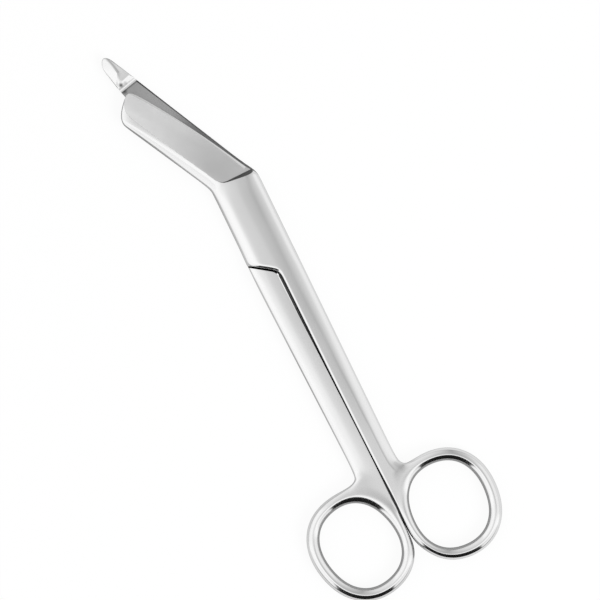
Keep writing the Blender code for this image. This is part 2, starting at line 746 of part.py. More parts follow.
def ground_cutter(half, outline, spine_lean, foot=None):
    """Grinds the outer face of a blade flat from the band along its spine down to its edge.

    The wheel leaves a sloping shoulder across the box, which turns off towards the spine, and another
    shoulder along the probe's foot if there is one.
    """
    _, left, right, _, _ = outline
    base = ahead(left(0.0), spine_lean + 90.0, SPINE_BAND)
    tip = ahead(left(1.0), spine_lean + 90.0, SPINE_BAND_AT_TIP)
    height = plane_through((*base, SPINE_HEIGHT), (*tip, SPINE_HEIGHT_AT_TIP),
                           (*right(0.5), LAP_GAP / 2 + EDGE_THICKNESS))
    top = BOX_THICKNESS
    run = 1.0 / math.tan(math.radians(GROUND_SHOULDER_SLOPE))
    lean = math.degrees(math.atan2(tip[0] - base[0], tip[1] - base[1]))
    far, across = foot or (ahead(tip, lean, 5.0 * CLEAR), 90.0)
    beside = ahead(base, lean - 90.0, SPINE_BAND)
    centre = (-GROUND_CORNER_REACH, GROUND_FACE_START + GROUND_CORNER_RADIUS)
    edges = [(ahead(centre, turn, GROUND_CORNER_RADIUS), turn) for turn in (-135.0, -150.0, -165.0, -180.0)]
    edges.insert(0, (meeting(edges[0][0], -45.0, beside, lean), -135.0))
    edges.append(((half.shank_reach + CLEAR, GROUND_FACE_START), -180.0))
    low = [point for point, _ in edges]
    high = [ahead(point, turn, (top - height(*point)) * run) for point, turn in edges]
    for side in ((half.shank_reach + 4.0 * CLEAR, 0.0), beside):
        corner = meeting(side, 0.0 if side is not beside else lean, far, across)
        low.append(corner)
        high.append(ahead(corner, across - 90.0, (top - height(*corner)) * run if foot else 0.0))
    return lofted(half.name + "_ground", [(*p, height(*p)) for p in low], [(*p, top) for p in high])


def honing_cutter(half, outline, lean):
    """Hones a narrow bevel along the cutting edge, which leans by this angle."""
    edge = [outline[2](k / HONING_STEPS) for k in range(HONING_STEPS + 1)]
    edge.append(ahead(edge[-1], lean, HONING_RUN_OUT))
    outside = [ahead(point, lean + 90.0, CLEAR) for point in edge]
    low = LAP_GAP / 2 + HONED_EDGE_THICKNESS
    rise = BOX_THICKNESS
    inside = [ahead(point, lean - 90.0, rise / math.tan(math.radians(HONING_ANGLE))) for point in edge]
    return lofted(half.name + "_honing", [(*p, low) for p in outside + edge[::-1]],
                  [(*p, low + rise) for p in outside + inside[::-1]])


def chamfer_cutter(half, outline, lean):
    """Breaks the lap face's edge along the spine, from the bend to the end of the blade."""
    _, left, _, _, _ = outline
    ends = [left(0.0), left(1.0)]
    outside = [ahead(point, lean - 90.0, CLEAR) for point in ends]
    low, high = LAP_GAP / 2 - SPINE_CHAMFER, LAP_GAP / 2 + 2.0 * SPINE_CHAMFER
    foot = LAP_GAP / 2 + SPINE_CHAMFER
    inner = [[ahead(point, lean + 90.0, foot - w) for point in ends] for w in (low, high)]
    return lofted(half.name + "_chamfer", [(*p, low) for p in inner[0] + outside[::-1]],
                  [(*p, high) for p in inner[1] + outside[::-1]])


def hollow_cutter(half, outline):
    """Scoops the blade's lap face a little hollow, so that the halves bear on their edges."""
    _, left, right, _, _ = outline
    near, far = mix(left(0.0), right(0.0), 0.5), mix(left(1.0), right(1.0), 0.5)
    centre = mix(left(0.5), right(0.5), 0.5)
    lean = math.atan2(far[0] - near[0], far[1] - near[1])
    width = math.dist(left(0.5), right(0.5)) * math.cos(lean)
    length = math.dist(near, far)
    overlap = HOLLOW_DEPTH / 5
    place = Matrix.Translation((*centre, LAP_GAP / 2 - overlap)) @ Matrix.Rotation(-lean, 4, "Z")
    size = Matrix.Diagonal((width / 2 - HOLLOW_MARGIN, length / 2 - HOLLOW_MARGIN,
                            HOLLOW_DEPTH + overlap, 1.0))
    shape = bmesh.new()
    bmesh.ops.create_uvsphere(shape, u_segments=20, v_segments=10, radius=1.0, matrix=place @ size)
    mesh = bpy.data.meshes.new(half.name + "_hollow")
    shape.to_mesh(mesh)
    shape.free()
    return mesh


def screw_profile(clearance):
    """The screw's outline in the rear half's frame, with this clearance all round it."""
    top = BOX_THICKNESS / 2 - SCREW_HEAD_SINK
    land = top - SCREW_HEAD_LAND
    return [(SCREW_HEAD_RADIUS + clearance, top + (CLEAR if clearance else 0.0)),
            (SCREW_HEAD_RADIUS + clearance, land),
            (SCREW_RADIUS + clearance, top - SCREW_HEAD_HEIGHT)]


def screw_mesh():
    end = -LAP_GAP / 2 - SCREW_GRIP
    profile = screw_profile(0.0) + [(SCREW_RADIUS, 0.0), (SCREW_END_RADIUS, 0.0),
                                    (SCREW_END_RADIUS, end + SCREW_END_CHAMFER),
                                    (SCREW_END_RADIUS - SCREW_END_CHAMFER, end)]
    return turned("pivot_screw", profile)


def slot_mesh():
    """The screwdriver slot, cut across the head at an odd angle, as a screw ends up when it is set."""
    top = BOX_THICKNESS / 2 - SCREW_HEAD_SINK
    half_length = SCREW_HEAD_RADIUS + CLEAR
    corners = [(-half_length, -SLOT_WIDTH / 2), (half_length, -SLOT_WIDTH / 2),
               (half_length, SLOT_WIDTH / 2), (-half_length, SLOT_WIDTH / 2)]
    return lofted("slot", [(*p, top - SLOT_DEPTH) for p in corners], [(*p, top + CLEAR) for p in corners])


def add_item(name, mesh, material, turned_over):
    item = bpy.data.objects.new(name, mesh)
    bpy.context.scene.collection.objects.link(item)
    item.location = (0.0, 0.0, -BOX_THICKNESS / 2)
    item.rotation_euler = (0.0, math.pi if turned_over else 0.0, 0.0)
    mesh.materials.append(material)
    return item


def cut(item, mesh, spin=0.0):
    """Cuts a mesh, given in the item's own frame, out of the item."""
    cutter = bpy.data.objects.new(mesh.name + "_cutter", mesh)
    bpy.context.scene.collection.objects.link(cutter)
    cutter.parent = item
    cutter.rotation_euler = (0.0, 0.0, spin)
    cutter.hide_render = True
    cutter.display_type = "WIRE"
    modifier = item.modifiers.new(mesh.name, "BOOLEAN")
    modifier.operation = "DIFFERENCE"
    modifier.solver = "EXACT"
    modifier.object = cutter


def add_half(half, blank, material, turned_over):
    item = add_item(half.name, blank.mesh(half.name), material, turned_over)
    surface = item.modifiers.new("forged_surface", "SUBSURF")
    surface.levels = SURFACE_LEVEL
    surface.render_levels = SURFACE_LEVEL
    item.modifiers.new("flat_facets", "TRIANGULATE")
    return item


def add_front_half():
    blank = Blank()
    outline = front_blade()
    add_ring(blank, FRONT)
    row = add_box(blank, FRONT, add_shank(blank, FRONT))
    add_blade(blank, FRONT, row, outline)
    item = add_half(FRONT, blank, steel("front_steel", (0.74, 0.75, 0.76), 0.16), False)
    past_nose = outline[2](1.0)[1] + CLEAR
    beyond = -outline[2](1.0)[0] + 2.0 * CLEAR
    wall = [(0.0, 0.0), (0.0, BOX_THICKNESS)]
    cut(item, lap_cutter(FRONT, (-beyond, past_nose), (beyond, past_nose), wall))
    cut(item, ground_cutter(FRONT, outline, -FRONT_SPINE_LEAN))
    cut(item, honing_cutter(FRONT, outline, -FRONT_EDGE_LEAN))
    cut(item, hollow_cutter(FRONT, outline))
    depth = LAP_GAP / 2 + SCREW_GRIP + 2.0 * SCREW_CLEARANCE
    radius = SCREW_END_RADIUS + SCREW_CLEARANCE
    cut(item, turned("screw_hole", [(radius, depth), (radius, -CLEAR)]))


def add_rear_half():
    blank = Blank()
    outline = rear_blade()
    add_ring(blank, REAR)
    row = add_box(blank, REAR, add_shank(blank, REAR))
    row = add_blade(blank, REAR, row, outline)
    add_probe(blank, row, outline)
    item = add_half(REAR, blank, steel("rear_steel", (0.74, 0.75, 0.76), 0.16), True)
    foot = probe_foot()
    across = 90.0 + PROBE_FOOT_SLANT
    far_left = meeting((-REAR.far_reach - CLEAR, 0.0), 0.0, foot, across)
    far_right = meeting((outline[2](1.0)[0] + CLEAR, 0.0), 0.0, foot, across)
    cut(item, lap_cutter(REAR, far_left, far_right, heel_profile()))
    cut(item, ground_cutter(REAR, outline, REAR_SPINE_LEAN, (foot, across)))
    cut(item, honing_cutter(REAR, outline, REAR_EDGE_LEAN))
    cut(item, chamfer_cutter(REAR, outline, REAR_SPINE_LEAN))
    cut(item, hollow_cutter(REAR, outline))
    seat = screw_profile(SCREW_CLEARANCE) + [(SCREW_RADIUS + SCREW_CLEARANCE, -CLEAR)]
    cut(item, turned("screw_seat", seat))


def add_pivot_screw():
    item = add_item("pivot_screw", screw_mesh(), steel("screw_steel", (0.70, 0.71, 0.72), 0.22), True)
    item.data.shade_smooth()
    item.data.set_sharp_from_angle(angle=math.radians(30.0))
    cut(item, slot_mesh(), spin=math.radians(35.0))


def main():
    clear_scene()
    add_front_half()
    add_rear_half()
    add_pivot_screw()


main()
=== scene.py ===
"""Angled bandage scissors, dressed: the two halves and the screw as smooth polished steel, with satin
ground faces. Each piece stands where its CAD node stands."""

import json
import math
from types import SimpleNamespace

import bmesh
import bpy
from mathutils import Matrix, Vector

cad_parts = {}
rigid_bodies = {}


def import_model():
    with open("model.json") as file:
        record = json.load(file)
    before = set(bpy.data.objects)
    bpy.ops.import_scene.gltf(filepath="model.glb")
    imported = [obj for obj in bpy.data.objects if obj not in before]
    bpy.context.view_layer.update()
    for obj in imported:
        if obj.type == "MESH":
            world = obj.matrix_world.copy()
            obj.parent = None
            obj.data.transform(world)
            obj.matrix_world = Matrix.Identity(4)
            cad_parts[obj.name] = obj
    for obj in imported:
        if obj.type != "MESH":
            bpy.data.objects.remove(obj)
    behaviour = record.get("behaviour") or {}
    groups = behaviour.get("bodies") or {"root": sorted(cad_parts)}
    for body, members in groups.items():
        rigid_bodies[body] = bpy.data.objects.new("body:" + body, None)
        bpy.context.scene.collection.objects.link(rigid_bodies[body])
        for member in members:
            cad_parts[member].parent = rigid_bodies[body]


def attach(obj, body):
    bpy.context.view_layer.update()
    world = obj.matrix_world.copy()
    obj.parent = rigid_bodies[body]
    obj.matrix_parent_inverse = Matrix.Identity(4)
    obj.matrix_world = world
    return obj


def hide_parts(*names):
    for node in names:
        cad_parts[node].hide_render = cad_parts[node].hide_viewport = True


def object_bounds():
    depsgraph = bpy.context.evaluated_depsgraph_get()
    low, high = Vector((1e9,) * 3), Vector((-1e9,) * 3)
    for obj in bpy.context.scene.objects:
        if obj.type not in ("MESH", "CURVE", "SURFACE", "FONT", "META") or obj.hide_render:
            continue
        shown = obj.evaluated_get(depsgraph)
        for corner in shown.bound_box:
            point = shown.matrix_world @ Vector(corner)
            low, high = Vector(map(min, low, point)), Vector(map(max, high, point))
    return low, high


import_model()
cad_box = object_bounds()

# Box, the thick part round the pivot. Left and right are seen from the front.
BOX_THICKNESS = 0.0050
BOX_END = 0.0090
LEFT_REACH = 0.0068
RIGHT_REACH = 0.0079
STEP_AT_SEAM = 0.0177
STEP_AT_SIDE = 0.0127
EDGE_SUPPORT = 0.0015
SOFT_BEVEL_WIDTH = 0.0026
SOFT_BEVEL_DROP = 0.0008
CROWN_RADIUS = 0.062
STEP_CORNER_REACH = 0.0025
FAR_COLUMN_SHARE = 0.35

# Running clearances between the halves. The seam between the shanks opens towards the step.
LAP_GAP = 0.0001
SEAM_GAP = 0.0002
SEAM_GAP_AT_STEP = 0.0010
SEAM_TAPER_LENGTH = 0.038
SHOULDER_GAP = 0.0003
SHOULDER_CORNER_RADIUS = 0.0030

# The seam's walls lean alike, so that it can't be looked through. Halfway up it lies left of the pivot.
SEAM_LEAN = 11.0
SEAM_SHIFT = 0.0005

# Shanks.
SHANK_THICKNESS = 0.0041
SHANK_START = 0.0200
SHANK_END = 0.0815
SHANK_WIDTH = 0.0074
SEAM_EDGE_LAND = 0.0009

# Finger rings.
RING_THICKNESS = 0.0042
RING_BAR = 0.00385
RING_SQUARENESS = 2.25
RING_THIN_SIDE = 188.0
RING_CONTACT = 0.8

# Blades. A lean is an angle from the shank's line, in degrees.
BEND_ROUND = 0.0025
FRONT_CORNER = 0.0112
FRONT_BEND = 0.0124
FRONT_SPINE_LEAN = 26.4
FRONT_SPINE_LENGTH = 0.0314
FRONT_EDGE_INSET = 0.0024
FRONT_EDGE_START = 0.0142
FRONT_EDGE_LEAN = 30.0
FRONT_EDGE_LENGTH = 0.0413
FRONT_EDGE_BELLY = 0.0008
NOSE_LEAN = 51.5
REAR_BEND = 0.0112
REAR_SPINE_LEAN = 25.6
REAR_EDGE_START = 0.0130
REAR_EDGE_LEAN = 15.8

# Blade sections.
GROUND_FACE_START = 0.0129
GROUND_CORNER_RADIUS = 0.0030
GROUND_CORNER_REACH = 0.0014
SPINE_HEIGHT = 0.0022
SPINE_HEIGHT_AT_TIP = 0.0017
SPINE_BAND = 0.0034
SPINE_BAND_AT_TIP = 0.0040
SPINE_RIM_HEIGHT = 0.0012
SPINE_LIP_SHARE = 0.26
LAP_RIM_DEPTH = 0.0008
EDGE_THICKNESS = 0.0003
HONED_EDGE_THICKNESS = 0.0001
HONING_ANGLE = 35.0
HONING_RUN_OUT = 0.0010
SPINE_CHAMFER = 0.0005
GRINDING_STOCK = 0.00015
GROUND_SHOULDER_SLOPE = 52.0
HOLLOW_DEPTH = 0.00015
HOLLOW_MARGIN = 0.0012

# Probe.
PROBE_FOOT_GAP = 0.0008
PROBE_FOOT_SLANT = 12.0
PROBE_SIDE_LENGTH = 0.0090
PROBE_SIDE_LEAN = 11.4
PROBE_TIP_ROUND = 0.0024
PROBE_TIP_LEAN = 6.0
PROBE_RISE = 0.0013
PROBE_BACK_HEIGHT = 0.0016
PROBE_TIP_SHARE = 0.45
PROBE_EDGE_SHARE = 0.3
PROBE_RIDGE_AT_TIP = (0.18, 0.38)
PROBE_RIDGE_DROP = 0.10

# The probe's heel, from the blade's lap face up: a hollow, a short steep step and a long gentle slope.
HEEL_HOLLOW_LENGTH = 0.0009
HEEL_HOLLOW_SLOPE = 12.0
HEEL_STEP_LENGTH = 0.00012
HEEL_STEP_SLOPE = 40.0
HEEL_SLOPE = 14.0

# Pivot screw.
SCREW_RADIUS = 0.0020
SCREW_HEAD_RADIUS = 0.0033
SCREW_HEAD_HEIGHT = 0.0012
SCREW_HEAD_LAND = 0.0002
SCREW_TOP = BOX_THICKNESS / 2 - 0.0001
SCREW_END_RADIUS = 0.0016
SCREW_END_CHAMFER = 0.0003
SCREW_GRIP = 0.0016
SCREW_CLEARANCE = 0.00006
SLOT_WIDTH = 0.0008
SLOT_DEPTH = 0.0007
SLOT_TURN = 35.0

# Mesh densities.
SCREW_SIDES = 96
RING_STEPS = 20
SHANK_STEPS = 4
BOX_STEPS = 4
BLADE_STEPS = 6
PROBE_STEPS = 3
HEEL_STEPS = 3
CORNER_STEPS = 6
HONING_STEPS = 8
SURFACE_LEVEL = 3

# The ring's first joint with the shank, as an angle round its hole, in degrees.
RING_START = 110.0

# Columns of quads across the shank, and across the box on the far side of the seam.
SHANK_COLUMNS = 4
FAR_COLUMNS = 3
COLUMNS = FAR_COLUMNS + SHANK_COLUMNS

# Where the columns run across a blade, as shares of its width, and the two that bound the probe's ridge.
SHARES = (0.0, 0.16, 0.34, 0.48, 0.60, 0.73, 0.86, 1.0)
RIDGE = (3, 4)

# Edge creases of the forged blanks, from 0 for soft to 1 for sharp.
SIDE_CREASE = 0.1
CORNER_CREASE = 0.5
RIDGE_CREASE = 0.8

# How far past the steel a cutter reaches.
CLEAR = 0.004


# What sets one half apart from the other. In each one's frame its own shank lies on the side of +u.
FRONT = SimpleNamespace(
    crowned=True, seam_shift=-SEAM_SHIFT, seam_crease=0.1,
    shank_reach=RIGHT_REACH, far_reach=LEFT_REACH, shank_end_width=0.0063,
    bevel_width=0.0028, bevel_drop=0.0004, bevel_drop_at_ring=0.0009, bevel_arch=0.0, bevel_crease=1.0,
    bar_at_seam=0.0027, hole_half_width=0.0112, hole_half_height=0.01284, hole_lean=3.0, hole_drop=0.10166)
REAR = SimpleNamespace(
    crowned=False, seam_shift=SEAM_SHIFT, seam_crease=0.9,
    shank_reach=LEFT_REACH, far_reach=RIGHT_REACH, shank_end_width=0.0069,
    bevel_width=0.0030, bevel_drop=0.00046, bevel_drop_at_ring=0.00034, bevel_arch=0.24, bevel_crease=0.0,
    bar_at_seam=0.0038, hole_half_width=0.0109, hole_half_height=0.0128, hole_lean=12.0, hole_drop=0.10085)


def mix(a, b, t):
    return tuple(p + (q - p) * t for p, q in zip(a, b))


def blend(a, b, t):
    return a + (b - a) * min(max(t, 0.0), 1.0)


def line(a, b):
    return lambda t: mix(a, b, t)


def bezier(a, pull, b, t):
    return mix(mix(a, pull, t), mix(pull, b, t), t)


def ahead(point, lean, distance):
    """The point at this distance, in a direction that leans from +v towards +u by an angle in degrees."""
    angle = math.radians(lean)
    return (point[0] + distance * math.sin(angle), point[1] + distance * math.cos(angle))


def meeting(a, lean_a, b, lean_b):
    """Where the line from a with one lean meets the line from b with the other."""
    ua, va = ahead((0.0, 0.0), lean_a, 1.0)
    ub, vb = ahead((0.0, 0.0), lean_b, 1.0)
    along = ((b[0] - a[0]) * vb - (b[1] - a[1]) * ub) / (ua * vb - va * ub)
    return (a[0] + ua * along, a[1] + va * along)


def swell(count):
    """How far outside a smooth closed curve the corners of its cage lie, if the cage has so many."""
    return 3.0 / (2.0 + math.cos(2.0 * math.pi / count))


def finished(shape, name="cutter"):
    mesh = bpy.data.meshes.new(name)
    shape.to_mesh(mesh)
    shape.free()
    return mesh


class Blank:
    """A closed cage of quads: an outer and an inner sheet over one plan grid, joined round each rim."""

    def __init__(self):
        self.outer, self.inner, self.side, self.rim, self.corner = {}, {}, {}, {}, {}
        self.quads, self.creases = [], []

    def add(self, key, plan, height, depth=None, lean=0.0, inner=None, side=None, rim=0.0, corner=0.0):
        """A grid point: its place in plan, its heights, the lean and middle of its wall, and its creases."""
        u, v = plan
        self.outer[key] = (u + lean, v, height)
        self.inner[key] = (*(inner or (u - lean, v)), -height if depth is None else depth)
        self.side[key] = side or (u, v, 0.0)
        self.rim[key] = rim
        self.corner[key] = corner

    def mesh(self, name):
        shape = bmesh.new()
        crease = shape.edges.layers.float.new("crease_edge")
        used = sorted({key for quad in self.quads for key in quad}, key=str)
        edges = {(q[i], q[(i + 1) % 4]) for q in self.quads for i in range(4)}
        rims = sorted([edge for edge in edges if edge[::-1] not in edges], key=str)
        outer = {key: shape.verts.new(self.outer[key]) for key in used}
        inner = {key: shape.verts.new(self.inner[key]) for key in used}
        side = {key: shape.verts.new(self.side[key]) for key, _ in rims}
        for quad in self.quads:
            shape.faces.new([outer[key] for key in quad])
            shape.faces.new([inner[key] for key in reversed(quad)])
        for a, b in rims:
            shape.faces.new([outer[b], outer[a], side[a], side[b]])
            shape.faces.new([side[b], side[a], inner[a], inner[b]])
            for sheet in (outer, inner):
                shape.edges.get((sheet[a], sheet[b]))[crease] = (self.rim[a] + self.rim[b]) / 2.0
        for key, vertex in side.items():
            shape.edges.get((outer[key], vertex))[crease] = self.corner[key]
            shape.edges.get((vertex, inner[key]))[crease] = self.corner[key]
        for a, b, value, inside_only in self.creases:
            for sheet in (inner,) if inside_only else (inner, outer):
                shape.edges.get((sheet[a], sheet[b]))[crease] = value
        mesh = finished(shape, name)
        mesh.shade_smooth()
        return mesh


def down_shank(v):
    """How far down the shank v lies, from 0 at the step to 1 at the ring."""
    return blend(0.0, 1.0, (-STEP_AT_SEAM - v) / (SHANK_END - STEP_AT_SEAM))


def half_height(v):
    """Half the thickness of the box and shank, which thins from the step down to the ring."""
    return blend(BOX_THICKNESS / 2, SHANK_THICKNESS / 2, down_shank(v))


def face_height(half, u, v):
    """The outer face's height. A crowned half arches across its box and flattens out down its shank."""
    arch = 1.0 - down_shank(v) if half.crowned else 0.0
    return half_height(v) - arch * u * u / (2.0 * CROWN_RADIUS)


def seam_side(half, v):
    """Where the shank's side along the seam lies, halfway up."""
    gap = blend(SEAM_GAP_AT_STEP, SEAM_GAP, (-STEP_AT_SEAM - v) / SEAM_TAPER_LENGTH)
    return gap / 2 + half.seam_shift


def seam_lean(height):
    return height * math.tan(math.radians(SEAM_LEAN))


def shank_side(half, v):
    """The outline over the shank: straight from the box's end to the shank's start, and on to its end."""
    if v > -SHANK_START:
        return blend(half.shank_reach, SHANK_WIDTH, (BOX_END - v) / (BOX_END + SHANK_START))
    return blend(SHANK_WIDTH, half.shank_end_width, (-SHANK_START - v) / (SHANK_END - SHANK_START))


def shank_row(half, v):
    """The five places across the shank at v, from the seam to the outer side."""
    seam = seam_side(half, v)
    land = seam + SEAM_EDGE_LAND
    outer = shank_side(half, v)
    bevel = outer - half.bevel_width
    return [seam, land, (land + bevel) / 2, bevel, outer]


def bevel_drops(half, v):
    """How far the shank's outer face drops at each place of a row, from the seam to the outer side."""
    drop = blend(half.bevel_drop, half.bevel_drop_at_ring, down_shank(v))
    return [drop * share for share in (0.0, 0.0, half.bevel_arch ** 2, half.bevel_arch, 1.0)]


def box_row(half, v):
    """The eight places across the box at v, from its far side to the side over the shank."""
    side = -blend(half.far_reach, SHANK_WIDTH, (BOX_END - v) / (BOX_END + SHANK_START))
    bevel = side + SOFT_BEVEL_WIDTH
    return [side, bevel, blend(bevel, seam_side(half, v), FAR_COLUMN_SHARE)] + shank_row(half, v)


def ring_centre(half):
    return (SEAM_GAP / 2 + half.bar_at_seam + half.hole_half_width, -half.hole_drop)


def ring_outline(half, degrees):
    """A point on the ring's hole and the outward direction there."""
    def hole(angle):
        power = 2.0 / RING_SQUARENESS
        cosine, sine = math.cos(angle), math.sin(angle)
        x = half.hole_half_width * math.copysign(abs(cosine) ** power, cosine)
        y = half.hole_half_height * math.copysign(abs(sine) ** power, sine)
        lean = math.radians(half.hole_lean)
        return (x * math.cos(lean) + y * math.sin(lean), y * math.cos(lean) - x * math.sin(lean))

    angle = math.radians(degrees)
    step = math.radians(2.0)
    before, after = hole(angle - step), hole(angle + step)
    length = math.dist(before, after)
    return hole(angle), ((after[1] - before[1]) / length, (before[0] - after[0]) / length)


def ring_point(half, degrees, across, up):
    """A cage point of the ring's oval bar: across is -1 at the hole and 1 outside, up is 1 on its crown."""
    hole, out = ring_outline(half, degrees)
    thin = max(0.0, math.cos(math.radians(degrees - RING_THIN_SIDE))) ** 2
    bar = blend(RING_BAR, half.bar_at_seam, thin)
    reach = bar / 2 * (1.0 + across * swell(8))
    u, v = [c + (h + o * reach) * swell(RING_STEPS) for c, h, o in zip(ring_centre(half), hole, out)]
    return (u, v, up * swell(8) * RING_THICKNESS / 2)


def add_ring(blank, half):
    """The ring's three circles of points: its outer side, its crown and its hole."""
    diagonal = math.sqrt(0.5)
    end_height = half_height(-SHANK_END)
    seam = seam_side(half, -SHANK_END)
    for index in range(RING_STEPS):
        angle = RING_START + 360.0 * index / RING_STEPS
        outside = ring_point(half, angle, diagonal, diagonal)
        crown = ring_point(half, angle, 0.0, 1.0)
        inside = ring_point(half, angle, -diagonal, diagonal)
        outer_mid = ring_point(half, angle, 1.0, 0.0)
        inner_mid = ring_point(half, angle, -1.0, 0.0)
        rim, lean = 0.0, 0.0
        if index == 0:
            outside = (*mix(outside, outer_mid, 0.5)[:2], (outside[2] + end_height) / 2)
        elif index < SHANK_COLUMNS:
            outside = (*outer_mid[:2], end_height)
        elif index == SHANK_COLUMNS:
            outside = (seam, outer_mid[1], end_height)
            outer_mid = (seam, outer_mid[1], 0.0)
            rim, lean = SIDE_CREASE, seam_lean(end_height)
        elif index == SHANK_COLUMNS + 1:
            outside = (blend(outside[0], seam, RING_CONTACT), *outside[1:])
            outer_mid = (blend(outer_mid[0], seam, RING_CONTACT), *outer_mid[1:])
        if index <= SHANK_COLUMNS:
            crown = (*crown[:2], (crown[2] + end_height) / 2)
        blank.add(("outside", index), outside[:2], outside[2], lean=lean, side=outer_mid, rim=rim)
        blank.add(("crown", index), crown[:2], crown[2])
        blank.add(("hole", index), inside[:2], inside[2], side=inner_mid)
    for index in range(RING_STEPS):
        after = (index + 1) % RING_STEPS
        blank.quads.append((("crown", index), ("outside", index), ("outside", after), ("crown", after)))
        blank.quads.append((("hole", index), ("crown", index), ("crown", after), ("hole", after)))


def row_key(row, column):
    """A grid point's name. Row 0 is where the shank's columns end on the ring's outer side."""
    return (row, column) if row else ("outside", COLUMNS - column)


def join_rows(blank, row, first):
    for column in range(first, COLUMNS):
        blank.quads.append((row_key(row, column), row_key(row, column + 1),
                            (row + 1, column + 1), (row + 1, column)))


def add_shank(blank, half):
    """Rows from the ring up to the step's corner. Returns the last row's number."""
    top = shank_row(half, -SHANK_END)
    places = []
    for share in (1.0 / 3.0, 2.0 / 3.0):
        row = []
        for index, u in enumerate(top):
            foot = blank.outer[row_key(0, FAR_COLUMNS + index)]
            start = (u, -SHANK_END)
            pull = (u, foot[1]) if index == SHANK_COLUMNS else mix(start, foot[:2], 0.5)
            row.append(bezier(foot[:2], pull, start, share))
        places.append(row)
    low, high = -SHANK_END, -STEP_AT_SEAM - STEP_CORNER_REACH
    for step in range(SHANK_STEPS + 1):
        v = low + (high - low) * step / SHANK_STEPS
        places.append([(u, v) for u in shank_row(half, v)])
    places.append([(u, -STEP_AT_SEAM) for u in shank_row(half, -STEP_AT_SEAM)])
    for row, plans in enumerate(places, start=1):
        height = half_height(plans[0][1])
        for index, (plan, drop) in enumerate(zip(plans, bevel_drops(half, plans[0][1]))):
            level = face_height(half, *plan) - blend(0.0, drop, row / 3.0)
            rim = SIDE_CREASE if index == SHANK_COLUMNS else half.seam_crease
            lean = seam_lean(height) if index < 2 else 0.0
            blank.add((row, FAR_COLUMNS + index), plan, level, lean=lean, rim=rim)
        join_rows(blank, row - 1, FAR_COLUMNS)
        if row > 1:
            crease = blend(half.bevel_crease, 0.0, row / len(places))
            blank.creases.append(((row - 1, COLUMNS - 1), (row, COLUMNS - 1), crease, False))
    return len(places)


def box_heights(half):
    drops = [SOFT_BEVEL_DROP] + [0.0] * (FAR_COLUMNS - 1) + bevel_drops(half, 0.0)
    return [face_height(half, u, 0.0) - drop for u, drop in zip(box_row(half, 0.0), drops)]


def add_box(blank, half, row):
    """The step's edge, and the box's straight rows above it. Returns the last row's number."""
    slope = (STEP_AT_SEAM - STEP_AT_SIDE) / half.far_reach
    level = box_heights(half)

    def step_edge(u, above):
        return (u, -STEP_AT_SEAM - u * slope + above)

    places = box_row(half, -STEP_AT_SEAM)
    for column in range(FAR_COLUMNS):
        plan = step_edge(places[column], 0.0)
        corner = CORNER_CREASE if column == 0 else 0.0
        blank.add((row, column), plan, level[column], side=(*plan, -LAP_RIM_DEPTH), corner=corner)
    rows = [[(u, max(step_edge(u, EDGE_SUPPORT)[1], -STEP_AT_SEAM + EDGE_SUPPORT))
             for u in box_row(half, -STEP_AT_SEAM + EDGE_SUPPORT)]]
    low = EDGE_SUPPORT - STEP_AT_SIDE
    high = min(FRONT_BEND, REAR_BEND) - 2.0 * EDGE_SUPPORT
    for step in range(1, BOX_STEPS + 1):
        v = low + (high - low) * step / BOX_STEPS
        rows.append([(u, v) for u in box_row(half, v)])
    for plans in rows:
        row += 1
        for column, plan in enumerate(plans):
            rim = SIDE_CREASE if column else 0.0
            blank.add((row, column), plan, level[column], side=(*plan, -LAP_RIM_DEPTH), rim=rim)
        join_rows(blank, row - 1, 0)
    return row


def patch(left, right, low, high, s, t):
    """A point of the plan patch between four edges, each a function that runs from 0 to 1."""
    across = mix(left(t), right(t), s)
    along = mix(low(s), high(s), t)
    corners = mix(mix(low(0.0), low(1.0), s), mix(high(0.0), high(1.0), s), t)
    return (across[0] + along[0] - corners[0], across[1] + along[1] - corners[1])


def front_blade():
    """The front blade's outline: bend rows, then its two edges and its nose, as functions from 0 to 1."""
    half = FRONT
    bend = (-half.far_reach, FRONT_BEND)
    edge = (half.shank_reach - FRONT_EDGE_INSET, FRONT_EDGE_START)
    start = ahead(bend, -FRONT_SPINE_LEAN, BEND_ROUND)
    shoulder = ahead(bend, -FRONT_SPINE_LEAN, FRONT_SPINE_LENGTH)
    tip = ahead(edge, -FRONT_EDGE_LEAN, FRONT_EDGE_LENGTH)
    nose = meeting(shoulder, -FRONT_SPINE_LEAN, tip, NOSE_LEAN)

    def cutting_edge(t):
        chord = mix(edge, tip, t)
        return ahead(chord, 90.0 - FRONT_EDGE_LEAN, FRONT_EDGE_BELLY * 4.0 * t * (1.0 - t))

    side_corner = (half.shank_reach, FRONT_CORNER)
    rows = [(mix((-half.far_reach, side_corner[1]), bend, 0.3), side_corner),
            (bend, mix(side_corner, edge, 0.55))]
    return (rows, line(start, shoulder), cutting_edge, line(start, edge),
            lambda s: bezier(shoulder, nose, tip, s))


def probe_foot():
    """A point on the line of the probe's foot, in the rear half's frame, just past the front blade's tip."""
    tip = front_blade()[2](1.0)
    return ahead((-tip[0], tip[1]), PROBE_FOOT_SLANT, PROBE_FOOT_GAP)


